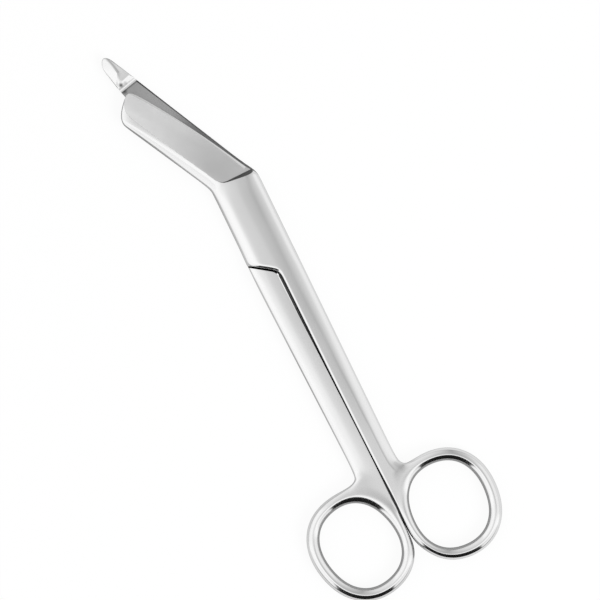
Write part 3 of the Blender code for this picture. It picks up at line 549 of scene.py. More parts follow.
def rear_blade():
    """The rear blade's outline up to the probe's foot, in the same form as the front blade's."""
    half = REAR
    bend = (-half.far_reach, REAR_BEND)
    corner = (half.shank_reach, REAR_EDGE_START)
    across = 90.0 + PROBE_FOOT_SLANT
    foot_left = meeting(bend, REAR_SPINE_LEAN, probe_foot(), across)
    foot_right = meeting(corner, REAR_EDGE_LEAN, probe_foot(), across)
    start_left = ahead(bend, REAR_SPINE_LEAN, 2.0 * BEND_ROUND)
    start_right = ahead(corner, REAR_EDGE_LEAN, BEND_ROUND)
    rows = [(bend, (half.shank_reach, (REAR_EDGE_START + REAR_BEND) / 2)),
            (ahead(bend, REAR_SPINE_LEAN, BEND_ROUND), corner)]
    return (rows, line(start_left, foot_left), line(start_right, foot_right),
            line(start_left, start_right), line(foot_left, foot_right))


def blade_heights(t):
    """The blank's height over a blade's columns, t from its base to its tip."""
    spine = blend(SPINE_HEIGHT, SPINE_HEIGHT_AT_TIP, t)
    rim = SPINE_RIM_HEIGHT * spine / SPINE_HEIGHT
    full = spine + GRINDING_STOCK
    return [rim, spine - GRINDING_STOCK] + [full] * (COLUMNS - 2) + [spine - 3.0 * GRINDING_STOCK]


def add_blade(blank, half, row, outline):
    """The rows round the bend and along the blade. Returns the last row's number."""
    bends, left, right, low, high = outline
    box = box_heights(half)
    blade = blade_heights(0.0)
    for index, (a, b) in enumerate(bends, start=1):
        row += 1
        share = index / (len(bends) + 1)
        for column, s in enumerate(SHARES):
            plan = mix(a, b, s)
            level = blend(box[column], blade[column], share)
            middle = blend(-LAP_RIM_DEPTH, SPINE_RIM_HEIGHT / 2, share)
            blank.add((row, column), plan, level, -BOX_THICKNESS / 2, side=(*plan, middle))
        join_rows(blank, row - 1, 0)
    for step in range(BLADE_STEPS + 1):
        row += 1
        t = step / BLADE_STEPS
        level = blade_heights(t)
        plans = [patch(left, right, low, high, s, t) for s in SHARES]
        for column, plan in enumerate(plans):
            lip = mix(plan, plans[1], SPINE_LIP_SHARE) if column == 0 else plan
            inner = mix(plan, plans[1], 0.5) if column == 0 else plan
            blank.add((row, column), lip, level[column], -LAP_RIM_DEPTH, inner=inner,
                      side=(*plan, SPINE_RIM_HEIGHT / 2))
        join_rows(blank, row - 1, 0)
    return row


def add_probe(blank, row, outline):
    """The probe's rows, from its foot to its rounded tip. The foot is the rear blade's last row."""
    _, left, right, _, foot = outline
    foot_left, foot_right = left(1.0), right(1.0)
    tip_left = ahead(foot_left, REAR_SPINE_LEAN, PROBE_SIDE_LENGTH)
    tip_right = ahead(foot_right, PROBE_SIDE_LEAN, PROBE_SIDE_LENGTH)
    pull = ahead(mix(tip_left, tip_right, 0.5), PROBE_TIP_LEAN, 2.0 * PROBE_TIP_ROUND)
    for step in range(PROBE_STEPS + 1):
        t = step / PROBE_STEPS
        swelling = blend(1.0, PROBE_TIP_SHARE, t ** 3)
        ridge = [blend(SHARES[column], tip, t) for column, tip in zip(RIDGE, PROBE_RIDGE_AT_TIP)]
        for column, share in enumerate(SHARES):
            if column <= RIDGE[0]:
                up = share / SHARES[RIDGE[0]]
                s = ridge[0] * up
                up *= 1.0 - PROBE_RIDGE_DROP
            else:
                up = (1.0 - share) / (1.0 - SHARES[RIDGE[1]])
                s = 1.0 - (1.0 - ridge[1]) * up
            plan = patch(line(foot_left, tip_left), line(foot_right, tip_right), foot,
                         lambda k: bezier(tip_left, pull, tip_right, k), s, t)
            roof = PROBE_RISE * swelling * blend(PROBE_EDGE_SHARE, 1.0, up)
            back = PROBE_BACK_HEIGHT * swelling * blend(PROBE_TIP_SHARE, 1.0, 2.0 * up)
            blank.add((row, column), plan, back, -roof)
        if step:
            join_rows(blank, row - 1, 0)
            if step < PROBE_STEPS:
                for column in RIDGE:
                    blank.creases.append(((row - 1, column), (row, column), RIDGE_CREASE, True))
        row += 1


def lofted(*loops):
    """A closed solid through loops of as many points, from the lowest up, each anticlockwise from above."""
    shape = bmesh.new()
    levels = [[shape.verts.new(point) for point in loop] for loop in loops]
    shape.faces.new(list(reversed(levels[0])))
    shape.faces.new(levels[-1])
    for low, high in zip(levels, levels[1:]):
        for index in range(len(low)):
            after = (index + 1) % len(low)
            shape.faces.new([low[index], low[after], high[after], high[index]])
    return finished(shape)


def turned(profile):
    """A closed solid of revolution about w. The profile runs down its outside, as (radius, w) pairs."""
    angles = [2.0 * math.pi * k / SCREW_SIDES for k in range(SCREW_SIDES)]
    return lofted(*[[(radius * math.cos(a), radius * math.sin(a), w) for a in angles]
                    for radius, w in reversed(profile)])


def heel_profile():
    """The probe's heel as (distance from its foot, height over the lap face) pairs."""
    radius = HEEL_HOLLOW_LENGTH / math.sin(math.radians(HEEL_HOLLOW_SLOPE))
    tilts = [math.radians(HEEL_HOLLOW_SLOPE) * k / HEEL_STEPS for k in range(HEEL_STEPS + 1)]
    profile = [(radius * math.sin(a), radius * (1.0 - math.cos(a))) for a in tilts]
    for length, slope in ((HEEL_STEP_LENGTH, HEEL_STEP_SLOPE), (PROBE_SIDE_LENGTH + CLEAR, HEEL_SLOPE)):
        reach, height = profile[-1]
        profile.append((reach + length, height + length * math.tan(math.radians(slope))))
    return profile


def lap_cutter(half, far_left, far_right, wall):
    """Mills away what lies under the lap plane, from the shoulder on the shank to a line past the blade.

    The shoulder follows the other half's step. The wall along the far line is given as (distance past the
    line, height) pairs from its foot up.
    """
    slant = math.atan2(STEP_AT_SEAM - STEP_AT_SIDE, half.shank_reach)
    radius = SHOULDER_CORNER_RADIUS
    below = -STEP_AT_SEAM - 2.0 * CLEAR
    seam = seam_side(half, below) - seam_lean(BOX_THICKNESS / 2)

    def shoulder(u, inside=0.0):
        return -STEP_AT_SEAM + u * math.tan(slant) - (SHOULDER_GAP + inside) / math.cos(slant)

    centre = (seam + radius, shoulder(seam + radius, radius))
    turns = [math.pi + (slant - math.pi / 2) * k / CORNER_STEPS for k in range(CORNER_STEPS + 1)]
    corner = [(centre[0] + radius * math.cos(a), centre[1] + radius * math.sin(a)) for a in turns]
    outside = half.shank_reach + CLEAR
    loop = [(far_left[0], below), (seam, below)] + corner + [(outside, shoulder(outside))]
    lean = math.degrees(math.atan2(far_right[0] - far_left[0], far_right[1] - far_left[1])) - 90.0
    return lofted(*[[(*p, LAP_GAP / 2 - height) for p in
                     loop + [ahead(far_right, lean, reach), ahead(far_left, lean, reach)]]
                    for reach, height in reversed(wall)])


def plane_through(a, b, c):
    """The height of the plane through three points, as a function of (u, v)."""
    u1, v1, w1 = (q - p for p, q in zip(a, b))
    u2, v2, w2 = (q - p for p, q in zip(a, c))
    turn = u1 * v2 - v1 * u2
    by_u = (w1 * v2 - v1 * w2) / turn
    by_v = (u1 * w2 - w1 * u2) / turn
    return lambda u, v: a[2] + by_u * (u - a[0]) + by_v * (v - a[1])


def ground_cutter(half, outline, spine_lean, foot=None):
    """Grinds the outer face of a blade flat from the band along its spine down to its edge.

    The wheel leaves a sloping shoulder across the box, and another along the probe's foot if there is one.
    """
    left, right = outline[1:3]
    base = ahead(left(0.0), spine_lean + 90.0, SPINE_BAND)
    tip = ahead(left(1.0), spine_lean + 90.0, SPINE_BAND_AT_TIP)
    height = plane_through((*base, SPINE_HEIGHT), (*tip, SPINE_HEIGHT_AT_TIP),
                           (*right(0.5), LAP_GAP / 2 + EDGE_THICKNESS))
    top = BOX_THICKNESS
    run = 1.0 / math.tan(math.radians(GROUND_SHOULDER_SLOPE))
    lean = math.degrees(math.atan2(tip[0] - base[0], tip[1] - base[1]))
    far, across = foot or (ahead(tip, lean, 5.0 * CLEAR), 90.0)
    beside = ahead(base, lean - 90.0, SPINE_BAND)
    centre = (-GROUND_CORNER_REACH, GROUND_FACE_START + GROUND_CORNER_RADIUS)
    edges = [(ahead(centre, turn, GROUND_CORNER_RADIUS), turn) for turn in (-135.0, -150.0, -165.0, -180.0)]
    edges.insert(0, (meeting(edges[0][0], -45.0, beside, lean), -135.0))
    edges.append(((half.shank_reach + CLEAR, GROUND_FACE_START), -180.0))
    low = [point for point, _ in edges]
    high = [ahead(point, turn, (top - height(*point)) * run) for point, turn in edges]
    for side, slope in (((half.shank_reach + 4.0 * CLEAR, 0.0), 0.0), (beside, lean)):
        corner = meeting(side, slope, far, across)
        low.append(corner)
        high.append(ahead(corner, across - 90.0, (top - height(*corner)) * run if foot else 0.0))
    return lofted([(*p, height(*p)) for p in low], [(*p, top) for p in high])


def honing_cutter(outline, lean):
    """Hones a narrow bevel along the cutting edge, which leans by this angle."""
    edge = [outline[2](k / HONING_STEPS) for k in range(HONING_STEPS + 1)]
    edge.append(ahead(edge[-1], lean, HONING_RUN_OUT))
    outside = [ahead(point, lean + 90.0, CLEAR) for point in edge]
    loops = []
    for rise in (0.0, BOX_THICKNESS):
        reach = rise / math.tan(math.radians(HONING_ANGLE))
        inside = [ahead(point, lean - 90.0, reach) for point in reversed(edge)]
        loops.append([(*p, LAP_GAP / 2 + HONED_EDGE_THICKNESS + rise) for p in outside + inside])
    return lofted(*loops)


def chamfer_cutter(outline, lean):
    """Breaks the lap face's edge along the spine, from the bend to the end of the blade."""
    ends = [outline[1](0.0), outline[1](1.0)]
    outside = [ahead(point, lean - 90.0, CLEAR) for point in reversed(ends)]
    loops = []
    for rise in (-SPINE_CHAMFER, 2.0 * SPINE_CHAMFER):
        inside = [ahead(point, lean + 90.0, SPINE_CHAMFER - rise) for point in ends]
        loops.append([(*p, LAP_GAP / 2 + rise) for p in inside + outside])
    return lofted(*loops)


def hollow_cutter(outline):
    """Scoops the blade's lap face a little hollow, so that the halves bear on their edges."""
    left, right = outline[1:3]
    near, centre, far = [mix(left(t), right(t), 0.5) for t in (0.0, 0.5, 1.0)]
    lean = math.atan2(far[0] - near[0], far[1] - near[1])
    width = math.dist(left(0.5), right(0.5)) * math.cos(lean)
    length = math.dist(near, far)
    overlap = HOLLOW_DEPTH / 5
    place = Matrix.Translation((*centre, LAP_GAP / 2 - overlap)) @ Matrix.Rotation(-lean, 4, "Z")
    size = Matrix.Diagonal((width / 2 - HOLLOW_MARGIN, length / 2 - HOLLOW_MARGIN,
                            HOLLOW_DEPTH + overlap, 1.0))
    shape = bmesh.new()
    bmesh.ops.create_uvsphere(shape, u_segments=20, v_segments=10, radius=1.0, matrix=place @ size)
    return finished(shape)


def screw_profile(clearance):
    """The screw's outline in the rear half's frame, with this clearance all round it."""
    return [(SCREW_HEAD_RADIUS + clearance, SCREW_TOP + (CLEAR if clearance else 0.0)),
            (SCREW_HEAD_RADIUS + clearance, SCREW_TOP - SCREW_HEAD_LAND),
            (SCREW_RADIUS + clearance, SCREW_TOP - SCREW_HEAD_HEIGHT)]


def slot_cutter():
    """The screwdriver slot, cut across the head at an odd angle, as a screw ends up when it is set."""
    corners = [(a * (SCREW_HEAD_RADIUS + CLEAR), b * SLOT_WIDTH / 2)
               for a, b in ((-1.0, -1.0), (1.0, -1.0), (1.0, 1.0), (-1.0, 1.0))]
    return lofted(*[[(*p, SCREW_TOP + rise) for p in corners] for rise in (-SLOT_DEPTH, CLEAR)])


# The tent of light round the scissors: its level from the picture's left to its right, and from overhead
# down to the near side. The brighter of the two counts.
LIGHT_ACROSS = [(-1.0, 1.12), (-0.73, 1.24), (-0.43, 1.2), (-0.25, 1.08), (-0.13, 0.96), (-0.06, 0.85),
                (0.0, 0.76), (0.025, 0.745), (0.04, 0.71), (0.06, 0.67), (0.08, 0.62), (0.1, 0.59),
                (0.125, 0.59), (0.18, 0.67), (0.28, 0.77), (0.4, 0.87), (0.5, 1.03), (0.6, 1.12),
                (1.0, 1.05)]
LIGHT_NEAR = [(0.0, 0.0), (0.04, 0.78), (0.12, 1.2), (0.2, 1.28), (0.30, 1.28), (0.38, 1.0), (0.6, 0.9),
              (1.0, 0.9)]

# The tent's dark gap at its near side, and where it dims: at the horizon, most of all near, and on the far
# side. A change runs from one place to another, with a level at each or else from 0 to 1.
GAP_EDGE = (0.24, 0.3)
GAP_BOW = 0.25
GAP_SIDES = ((-0.72, -0.62), (0.80, 0.70))
GAP_LEVEL = 0.015
HORIZON = (0.40, 0.0)
HORIZON_NEAR = (0.3, 0.7, 0.25, 1.0)
HORIZON_LEVEL = 0.20
FAR_SIDE = (-0.02, -0.14, 1.0, 0.86)
FAR_BOW = 0.75

# The table's level as the steel mirrors it, a painted reflection with painted shade in it: on the left from
# the rings up to the blades, all along on the right, and inside and just below the rings.
TABLE_LEFT = [(-0.13, 0.85), (-0.085, 0.85), (-0.075, 0.72), (-0.06, 0.55), (-0.045, 0.52), (-0.035, 0.70),
              (-0.01, 0.70), (0.008, 0.60), (0.02, 0.34), (0.07, 0.32)]
TABLE_RIGHT = 0.95
TABLE_SIDES = (-0.003, 0.003)
TABLE_IN_RING = 0.40
RING_SHADE = (0.0149, 0.0139)
RING_SHADE_SHIFT = 0.0035

# The table itself. It glows for the eye by a share, and for the rest it is matt and takes a shadow.
TABLE_GLOW = 0.92
TABLE_MATT = 0.86
TABLE_RADIUS = 8.0
TABLE_DROP = 0.00005
CONTACT_SHADE = 0.006

# The picture's own directions, to its right and down, as seen straight down on the scissors.
PICTURE_TURN = math.radians(26.9)
PICTURE_RIGHT = Vector((math.cos(PICTURE_TURN), -math.sin(PICTURE_TURN), 0.0))
PICTURE_DOWN = Vector((-math.sin(PICTURE_TURN), -math.cos(PICTURE_TURN), 0.0))
PICTURE_CENTRE = (0.00204, -0.02809)
PICTURE_WIDTH = 0.17706
LENS = 200.0
SENSOR = 36.0
LAMP_PLACE = 0.9 * PICTURE_RIGHT + 0.7 * PICTURE_DOWN + Vector((0.0, 0.0, 1.0))
LAMP_SIZE = 0.8
LAMP_POWER = 12.0

# Steels.
STEEL = (0.75, 0.75, 0.75)
GROUND = (0.755, 0.755, 0.755)
MILLED = (0.36, 0.36, 0.36)
# Painted shade: the dark grey below goes on the seam's wall, the grinding shoulders and the rear spine's
# chamfer, in place of the shade in these narrow places.
PAINTED_SHADE_GREY = (0.10, 0.10, 0.10)
SCREW_STEEL = (0.70, 0.705, 0.71)
GROUND_ROUGHNESS = 0.34
GROUND_LEAN = 62.0
# Painted light and shade: the front ground face darker towards the blade's base, lighter towards its tip.
GROUND_PAINTED_SHADING = (0.015, 0.041, 0.82, 1.15)
# Painted shade: the rear lap face darker towards the blade's base.
LAP_PAINTED_SHADE = (0.026, 0.040, 0.45, 1.05)
# Painted shade: the seam's wall darker towards the step and lighter down the shank.
SEAM_WALL_PAINTED_SHADE = (-0.050, -0.022, 1.6, 0.2)

# Painted shade, near black: along the step's foot and the probe's, and in spots round the probe's
# neck, each with its place in the half's frame, radius and share.
STEP_PAINTED_SHADE = 0.012
STEP_PAINTED_SHADE_WIDTH = 0.0004
DARK_PAINTED_SHADE = 0.02
FOOT_LINE_PAINTED_SHADE_WIDTH = 0.0007
FOOT_LINE_PAINTED_SHADE_SHARE = 0.6
FOOT_PAINTED_SHADE_SPOTS = ((0.0163, 0.0502, 0.0012, 0.7),)
NECK_PAINTED_SHADE_SPOTS = ((0.0164, 0.0523, 0.0011, 0.9), (0.0150, 0.0523, 0.0009, 0.35))

# How upright the normal of a level face is at the least, and of a flat one, and from where edges are sharp.
LEVEL_FACE = 0.95
FLAT_FACE = 0.9999
SHARP_ANGLE = 32.0


def grey(level):
    return (level, level, level, 1.0)


class Nodes:
    """Shorthand for building the node tree of a material or a world."""

    def __init__(self, owner):
        owner.use_nodes = True
        self.tree = owner.node_tree
        self.tree.nodes.clear()

    def add(self, kind, settings=None, **inputs):
        """A node with its settings and inputs. An input goes by its name, or by its number, as in i0."""
        node = self.tree.nodes.new(kind)
        for name, value in (settings or {}).items():
            setattr(node, name, value)
        for name, value in inputs.items():
            key = int(name[1:]) if name[1:].isdigit() else name.replace("_", " ")
            self.put(node.inputs[key], value)
        return node

    def put(self, socket, value):
        if isinstance(value, bpy.types.Node):
            value = value.outputs[0]
        if isinstance(value, bpy.types.NodeSocket):
            self.tree.links.new(value, socket)
        else:
            socket.default_value = value

    def math(self, operation, a, b=0.0, c=0.0):
        return self.add("ShaderNodeMath", {"operation": operation}, i0=a, i1=b, i2=c)

    def product(self, first, *others):
        for factor in others:
            first = self.math("MULTIPLY", first, factor)
        return first

    def measure(self, operation, a, b):
        """The number that comes out of a vector operation."""
        return self.add("ShaderNodeVectorMath", {"operation": operation}, i0=a, i1=b).outputs["Value"]

    def curve(self, value, stops):
        """A grey level that follows a value through these (value, level) stops."""
        low, high = stops[0][0], stops[-1][0]
        share = self.add("ShaderNodeMapRange", Value=value, From_Min=low, From_Max=high)
        node = self.add("ShaderNodeValToRGB", Fac=share)
        elements = node.color_ramp.elements
        for place, _ in stops[1:-1]:
            elements.new((place - low) / (high - low))
        for element, (_, level) in zip(elements, stops):
            element.color = grey(level)
        return node

    def span(self, value, low, high, to_low=0.0, to_high=1.0):
        return self.add("ShaderNodeMapRange", {"interpolation_type": "SMOOTHSTEP"}, Value=value,
                        From_Min=low, From_Max=high, To_Min=to_low, To_Max=to_high)

    def mix(self, share, first, second):
        return self.add("ShaderNodeMix", {"data_type": "FLOAT"}, Factor=share, A=first, B=second)

    def shade(self, share, first, second, kind="MIX"):
        settings = {"data_type": "RGBA", "blend_type": kind}
        return self.add("ShaderNodeMix", settings, Factor=share, i6=first, i7=second).outputs[2]

    def noise(self, place, scale, detail):
        return self.add("ShaderNodeTexNoise", Vector=place, Scale=scale, Detail=detail)

    def place(self):
        return self.add("ShaderNodeTexCoord").outputs["Object"]

    def stretched(self, lean, across, along):
        """Object coordinates turned so that +Y runs along a lean, then scaled across it and along it."""
        turned = self.add("ShaderNodeMapping", {"vector_type": "TEXTURE"}, Vector=self.place(),
                          Rotation=(0.0, 0.0, -math.radians(lean)))
        return self.add("ShaderNodeMapping", Vector=turned, Scale=(across, along, across))


class Steel(Nodes):
    """A steel with soft patches of tone and two sets of fine lines that roughen it and stand out.

    Lines have a share, a detail and a grain, which is a lean and a scale across and along. Their spread is
    a span and the roughness it adds. Patches have a scale, a detail and their darkest tone.
    """

    def __init__(self, name, colour, roughness, lines, spread, patches, relief, smudges=0.0):
        self.material = bpy.data.materials.new(name)
        super().__init__(self.material)
        if smudges:
            smudge = self.span(self.noise(self.place(), 90.0, 4.0), 0.35, 0.75)
            roughness = self.math("MULTIPLY_ADD", smudge, smudges, roughness)
        height = self.math("ADD", *[self.product(self.noise(self.stretched(*grain), 1.0, detail), share)
                                    for share, detail, grain in lines])
        low, high, more = spread
        rough = self.math("MULTIPLY_ADD", self.span(height, low, high), more, roughness)
        scale, detail, darkest = patches
        tone = self.span(self.noise(self.place(), scale, detail), 0.3, 0.7)
        shade = self.shade(tone, (*[c * darkest for c in colour], 1.0), (*colour, 1.0))
        strength, depth = relief
        bump = self.add("ShaderNodeBump", Strength=strength, Distance=depth, Height=height)
        self.shader = self.add("ShaderNodeBsdfPrincipled", Base_Color=shade, Metallic=1.0, Roughness=rough,
                               Normal=bump)
        self.add("ShaderNodeOutputMaterial", Surface=self.shader)

    def coat(self, share, colour, kind="MIX"):
        """Lays a colour over the steel's own, by a share."""
        base = self.shader.inputs["Base Color"]
        self.put(base, self.shade(share, base.links[0].from_socket, colour, kind))

    def fade(self, lean, change):
        """Paints light and shade into the steel's tone: it changes along a lean."""
        along = self.add("ShaderNodeSeparateXYZ", Vector=self.stretched(lean, 1.0, 1.0)).outputs["Y"]
        self.coat(1.0, self.span(along, *change), "MULTIPLY")

    def paint_shade_spots(self, spots):
        """Painted shade in small dark spots."""
        plan = self.add("ShaderNodeVectorMath", {"operation": "MULTIPLY"}, i0=self.place(), i1=(1, 1, 0))
        for u, v, radius, share in spots:
            away = self.measure("DISTANCE", plan, (u, v, 0.0))
            self.coat(self.span(away, radius, 0.0, 0.0, share), grey(DARK_PAINTED_SHADE))


def polished_steel(name):
    """Hand-polished steel: faint long buffing lines, a few finer cross scratches and soft smudges."""
    buffing = (0.7, 2.0, (0.0, 9000.0, 260.0))
    scratches = (0.3, 2.0, (38.0, 14000.0, 240.0))
    return Steel(name, STEEL, 0.08, (buffing, scratches), spread=(0.4, 0.7, 0.03),
                 patches=(40.0, 3.0, 0.985), relief=(0.03, 0.00001), smudges=0.05)


def satin_steel(name, colour, roughness, lean, strength=0.12):
    """Ground steel: fine parallel grinding lines that lean from the shank's line by an angle."""
    fine = (0.65, 3.0, (lean, 16000.0, 300.0))
    broad = (0.35, 2.0, (lean, 2600.0, 60.0))
    return Steel(name, colour, roughness, (fine, broad), spread=(0.35, 0.65, 0.10),
                 patches=(120.0, 4.0, 0.96), relief=(strength, 0.00002))


def painted_shade_steel(name):
    """Painted shade: a dark grey steel for narrow places, in place of the shade that lies in them."""
    return satin_steel(name, PAINTED_SHADE_GREY, roughness=0.40, lean=20.0, strength=0.1)


def milled_steel(name, half):
    """Milled lap faces, grey and dull, with painted shade in a black line along the shoulder's foot."""
    steel = satin_steel(name, MILLED, roughness=0.36, lean=0.0, strength=0.08)
    place = steel.add("ShaderNodeSeparateXYZ", Vector=steel.place()).outputs
    slope = (STEP_AT_SEAM - STEP_AT_SIDE) / half.shank_reach
    past = steel.math("MULTIPLY_ADD", place["X"], -slope, place["Y"])
    # Painted shade: a black line along the foot of the shoulder.
    share = steel.span(past, 2.0 * STEP_PAINTED_SHADE_WIDTH - STEP_AT_SEAM, STEP_PAINTED_SHADE_WIDTH - STEP_AT_SEAM)
    steel.coat(share, grey(STEP_PAINTED_SHADE))
    return steel


def paint_shade_along_foot(steel):
    """A dark line of painted shade on the rear blade's milled face, along the probe's foot."""
    u, v = probe_foot()
    across = ahead((0.0, 0.0), PROBE_FOOT_SLANT, 1.0)
    foot = u * across[0] + v * across[1]
    past = steel.measure("DOT_PRODUCT", steel.place(), (*across, 0.0))
    steel.coat(steel.span(past, foot - FOOT_LINE_PAINTED_SHADE_WIDTH, foot, 0.0, FOOT_LINE_PAINTED_SHADE_SHARE), grey(DARK_PAINTED_SHADE))


def new_object(name, data, place=(0.0, 0.0, 0.0), turn=(0.0, 0.0, 0.0)):
    item = bpy.data.objects.new(name, data)
    item.location = place
    item.rotation_euler = turn
    bpy.context.scene.collection.objects.link(item)
    return item


def new_piece(name, mesh, turned_over):
    return new_object(name, mesh, (0.0, 0.0, -BOX_THICKNESS / 2), (0.0, math.pi * turned_over, 0.0))


def cut(item, mesh, steel, steep=None, level=LEVEL_FACE, spin=0.0):
    """Cuts a mesh out of the item. The faces it leaves take the steel, or another where they are steep."""
    for finish in (steel, steep or steel):
        mesh.materials.append(finish.material)
    for face in mesh.polygons:
        face.material_index = 0 if abs(face.normal.z) > level else 1
    cutter = new_object("cutter", mesh, turn=(0.0, 0.0, spin))
    cutter.parent = item
    modifier = item.modifiers.new("cut", "BOOLEAN")
    modifier.solver = "EXACT"
    modifier.material_mode = "TRANSFER"
    modifier.object = cutter


def settle(item):
    """Replaces the item's mesh by the result of its modifiers, and removes its cutters."""
    bpy.context.view_layer.update()
    result = item.evaluated_get(bpy.context.evaluated_depsgraph_get())
    mesh = bpy.data.meshes.new_from_object(result)
    mesh.name = item.name
    item.modifiers.clear()
    item.data = mesh
    mesh.set_sharp_from_angle(angle=math.radians(SHARP_ANGLE))
    for cutter in list(item.children):
        bpy.data.objects.remove(cutter, do_unlink=True)


def add_half(half, name, outline, polish):
    """A half as it leaves the forge, before anything is cut from it."""
    blank = Blank()
    add_ring(blank, half)
    row = add_blade(blank, half, add_box(blank, half, add_shank(blank, half)), outline)
    if half is REAR:
        add_probe(blank, row, outline)
    mesh = blank.mesh(name)
    mesh.materials.append(polish.material)
    item = new_piece(name, mesh, half is REAR)
    item.modifiers.new("surface", "SUBSURF").levels = SURFACE_LEVEL
    item.modifiers.new("facets", "TRIANGULATE")
    return item


def add_front_half(shoulder):
    polish = polished_steel("polished_front")
    milled = milled_steel("lap_face_front", FRONT)
    # Painted shade: the steep walls that the lap cut leaves, the seam's wall among them, take the dark
    # steel.
    wall = painted_shade_steel("seam_wall_painted_shade")
    # Painted shade: the seam's wall grows darker towards the step.
    wall.fade(0.0, SEAM_WALL_PAINTED_SHADE)
    ground = satin_steel("ground_face_front", GROUND, GROUND_ROUGHNESS, GROUND_LEAN)
    # Painted light and shade: the ground face darker towards the blade's base, lighter towards its tip.
    ground.fade(-FRONT_SPINE_LEAN, GROUND_PAINTED_SHADING)
    outline = front_blade()
    item = add_half(FRONT, "front_half_steel", outline, polish)
    tip = outline[2](1.0)
    beyond, past_nose = 2.0 * CLEAR - tip[0], tip[1] + CLEAR
    upright = [(0.0, 0.0), (0.0, BOX_THICKNESS)]
    cut(item, lap_cutter(FRONT, (-beyond, past_nose), (beyond, past_nose), upright), milled, wall)
    cut(item, ground_cutter(FRONT, outline, -FRONT_SPINE_LEAN), ground, shoulder)
    cut(item, honing_cutter(outline, -FRONT_EDGE_LEAN), polish)
    cut(item, hollow_cutter(outline), milled)
    depth = LAP_GAP / 2 + SCREW_GRIP + 2.0 * SCREW_CLEARANCE
    radius = SCREW_END_RADIUS + SCREW_CLEARANCE
    cut(item, turned([(radius, depth), (radius, -CLEAR)]), milled)
    settle(item)
    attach(item, "front")
    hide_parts("front_half")


def add_rear_half(shoulder):
    polish = polished_steel("polished_rear")
    # Painted shade: dark spots round the probe's neck.
    polish.paint_shade_spots(NECK_PAINTED_SHADE_SPOTS)
    milled = milled_steel("lap_face_rear", REAR)
    # Painted shade: the lap face darker towards the blade's base.
    milled.fade(REAR_SPINE_LEAN, LAP_PAINTED_SHADE)
    # Painted shade: a dark spot and a dark line on the lap face at the probe's foot.
    milled.paint_shade_spots(FOOT_PAINTED_SHADE_SPOTS)
    paint_shade_along_foot(milled)
    ground = satin_steel("ground_face_rear", GROUND, GROUND_ROUGHNESS, -GROUND_LEAN)
    outline = rear_blade()
    item = add_half(REAR, "rear_half_steel", outline, polish)
    foot = probe_foot()
    across = 90.0 + PROBE_FOOT_SLANT
    far_left = meeting((-REAR.far_reach - CLEAR, 0.0), 0.0, foot, across)
    far_right = meeting((outline[2](1.0)[0] + CLEAR, 0.0), 0.0, foot, across)
    cut(item, lap_cutter(REAR, far_left, far_right, heel_profile()), milled, polish, FLAT_FACE)
    cut(item, ground_cutter(REAR, outline, REAR_SPINE_LEAN, (foot, across)), ground, shoulder)
    cut(item, honing_cutter(outline, REAR_EDGE_LEAN), polish)
    # Painted shade: the chamfer along the spine takes the dark steel.
    cut(item, chamfer_cutter(outline, REAR_SPINE_LEAN), shoulder)
    cut(item, hollow_cutter(outline), milled)
    seat = screw_profile(SCREW_CLEARANCE) + [(SCREW_RADIUS + SCREW_CLEARANCE, -CLEAR)]
    cut(item, turned(seat), milled)
    settle(item)
    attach(item, "rear")
    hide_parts("rear_half")


def add_pivot_screw():
    end = -LAP_GAP / 2 - SCREW_GRIP
    mesh = turned(screw_profile(0.0) + [(SCREW_RADIUS, 0.0), (SCREW_END_RADIUS, 0.0),
                                        (SCREW_END_RADIUS, end + SCREW_END_CHAMFER),
                                        (SCREW_END_RADIUS - SCREW_END_CHAMFER, end)])
    steel = satin_steel("screw_head", SCREW_STEEL, roughness=0.24, lean=SLOT_TURN, strength=0.06)
    mesh.materials.append(steel.material)
    mesh.shade_smooth()
    item = new_piece("pivot_screw_steel", mesh, True)
    cut(item, slot_cutter(), steel, spin=math.radians(SLOT_TURN))
    settle(item)
    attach(item, "front")
    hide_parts("pivot_screw")


def table_level(nodes):
    """The mirrored table's painted level at a place on it: painted shade on its left and round the rings."""
    place = nodes.place()
    parts = nodes.add("ShaderNodeSeparateXYZ", Vector=place)
    left = nodes.curve(parts.outputs["Y"], TABLE_LEFT)
    level = nodes.mix(nodes.span(parts.outputs["X"], *TABLE_SIDES), left, TABLE_RIGHT)
    for half, side in ((FRONT, 1.0), (REAR, -1.0)):
        u, v = ring_centre(half)
        away = nodes.measure("DISTANCE", place, Vector((side * u, v, 0.0)) + RING_SHADE_SHIFT * PICTURE_DOWN)
        level = nodes.mix(nodes.span(away, *RING_SHADE), level, TABLE_IN_RING)
    return level


def add_floor():
    """A white table that the scissors lie on. It glows for the eye, and still takes a faint shadow."""
    shape = bmesh.new()
    bmesh.ops.create_circle(shape, cap_ends=True, segments=64, radius=TABLE_RADIUS)
    floor = new_object("table", finished(shape, "table"), (0.0, 0.0, cad_box[0][2] - TABLE_DROP))
    material = bpy.data.materials.new("table_white")
    nodes = Nodes(material)
    path = nodes.add("ShaderNodeLightPath")
    direct = path.outputs["Is Camera Ray"]
    mirrored = nodes.math("MAXIMUM", path.outputs["Is Glossy Ray"], path.outputs["Is Transmission Ray"])
    glowing = nodes.math("MAXIMUM", nodes.product(direct, TABLE_GLOW), mirrored)
    # Painted shade: for the steel's mirror rays the table's glow dims near the scissors, by ambient
    # occlusion.
    open_sky = nodes.add("ShaderNodeAmbientOcclusion", {"samples": 8}, Distance=CONTACT_SHADE).outputs["AO"]
    level = nodes.math("MAXIMUM", direct, nodes.product(open_sky, table_level(nodes)))
    matt = nodes.add("ShaderNodeBsdfDiffuse", Color=grey(TABLE_MATT))
    glow = nodes.add("ShaderNodeEmission", Color=grey(1.0), Strength=level)
    white = nodes.add("ShaderNodeMixShader", i0=glowing, i1=matt, i2=glow)
    nodes.add("ShaderNodeOutputMaterial", Surface=white)
    floor.data.materials.append(material)


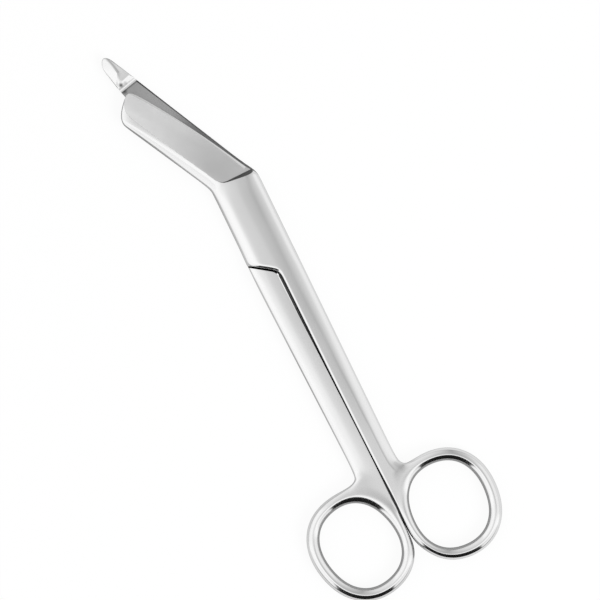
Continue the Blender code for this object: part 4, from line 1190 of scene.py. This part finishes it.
def add_light():
    """The tent of soft light, as the steel and the table get it. The camera itself sees white."""
    world = bpy.data.worlds.new("studio")
    bpy.context.scene.world = world
    nodes = Nodes(world)
    toward = nodes.add("ShaderNodeTexCoord").outputs["Generated"]
    right, down = [nodes.measure("DOT_PRODUCT", toward, way) for way in (PICTURE_RIGHT, PICTURE_DOWN)]
    side = nodes.math("DIVIDE", right, nodes.math("MAXIMUM", down, 0.001))
    edge = nodes.math("MULTIPLY_ADD", nodes.math("POWER", side, 2.0), -GAP_BOW, down)
    gap = nodes.product(nodes.span(edge, *GAP_EDGE), *[nodes.span(side, *change) for change in GAP_SIDES])
    height = nodes.add("ShaderNodeSeparateXYZ", Vector=toward).outputs["Z"]
    horizon = nodes.product(nodes.span(height, *HORIZON), nodes.span(down, *HORIZON_NEAR))
    away = nodes.math("MULTIPLY_ADD", nodes.math("ABSOLUTE", right), FAR_BOW, down)
    level = nodes.product(
        nodes.math("MAXIMUM", nodes.curve(right, LIGHT_ACROSS), nodes.curve(down, LIGHT_NEAR)),
        nodes.mix(gap, 1.0, GAP_LEVEL), nodes.mix(horizon, 1.0, HORIZON_LEVEL), nodes.span(away, *FAR_SIDE))
    level = nodes.mix(nodes.add("ShaderNodeLightPath").outputs["Is Camera Ray"], level, 1.0)
    back = nodes.add("ShaderNodeBackground", Color=grey(1.0), Strength=level)
    nodes.add("ShaderNodeOutputWorld", Surface=back)


def add_lamp():
    """A broad lamp at the picture's lower right, which gives the table a soft shadow on the other side."""
    data = bpy.data.lights.new("soft_lamp", "AREA")
    data.shape = "DISK"
    data.size = LAMP_SIZE
    data.energy = LAMP_POWER
    lamp = new_object("soft_lamp", data, LAMP_PLACE, (-LAMP_PLACE).to_track_quat("-Z", "Y").to_euler())
    lamp.visible_glossy = False


def add_camera():
    data = bpy.data.cameras.new("camera")
    data.lens = LENS
    data.sensor_width = SENSOR
    place = (*PICTURE_CENTRE, PICTURE_WIDTH * LENS / SENSOR - BOX_THICKNESS / 2)
    bpy.context.scene.camera = new_object("camera", data, place, (0.0, 0.0, -PICTURE_TURN))


# Painted shade: the grinding shoulders, and the rear spine's chamfer, take this dark steel.
shoulder = painted_shade_steel("grinding_shoulder_painted_shade")
add_front_half(shoulder)
add_rear_half(shoulder)
add_pivot_screw()
add_floor()
add_light()
add_lamp()
add_camera()
bpy.context.scene.view_settings.view_transform = "Standard"
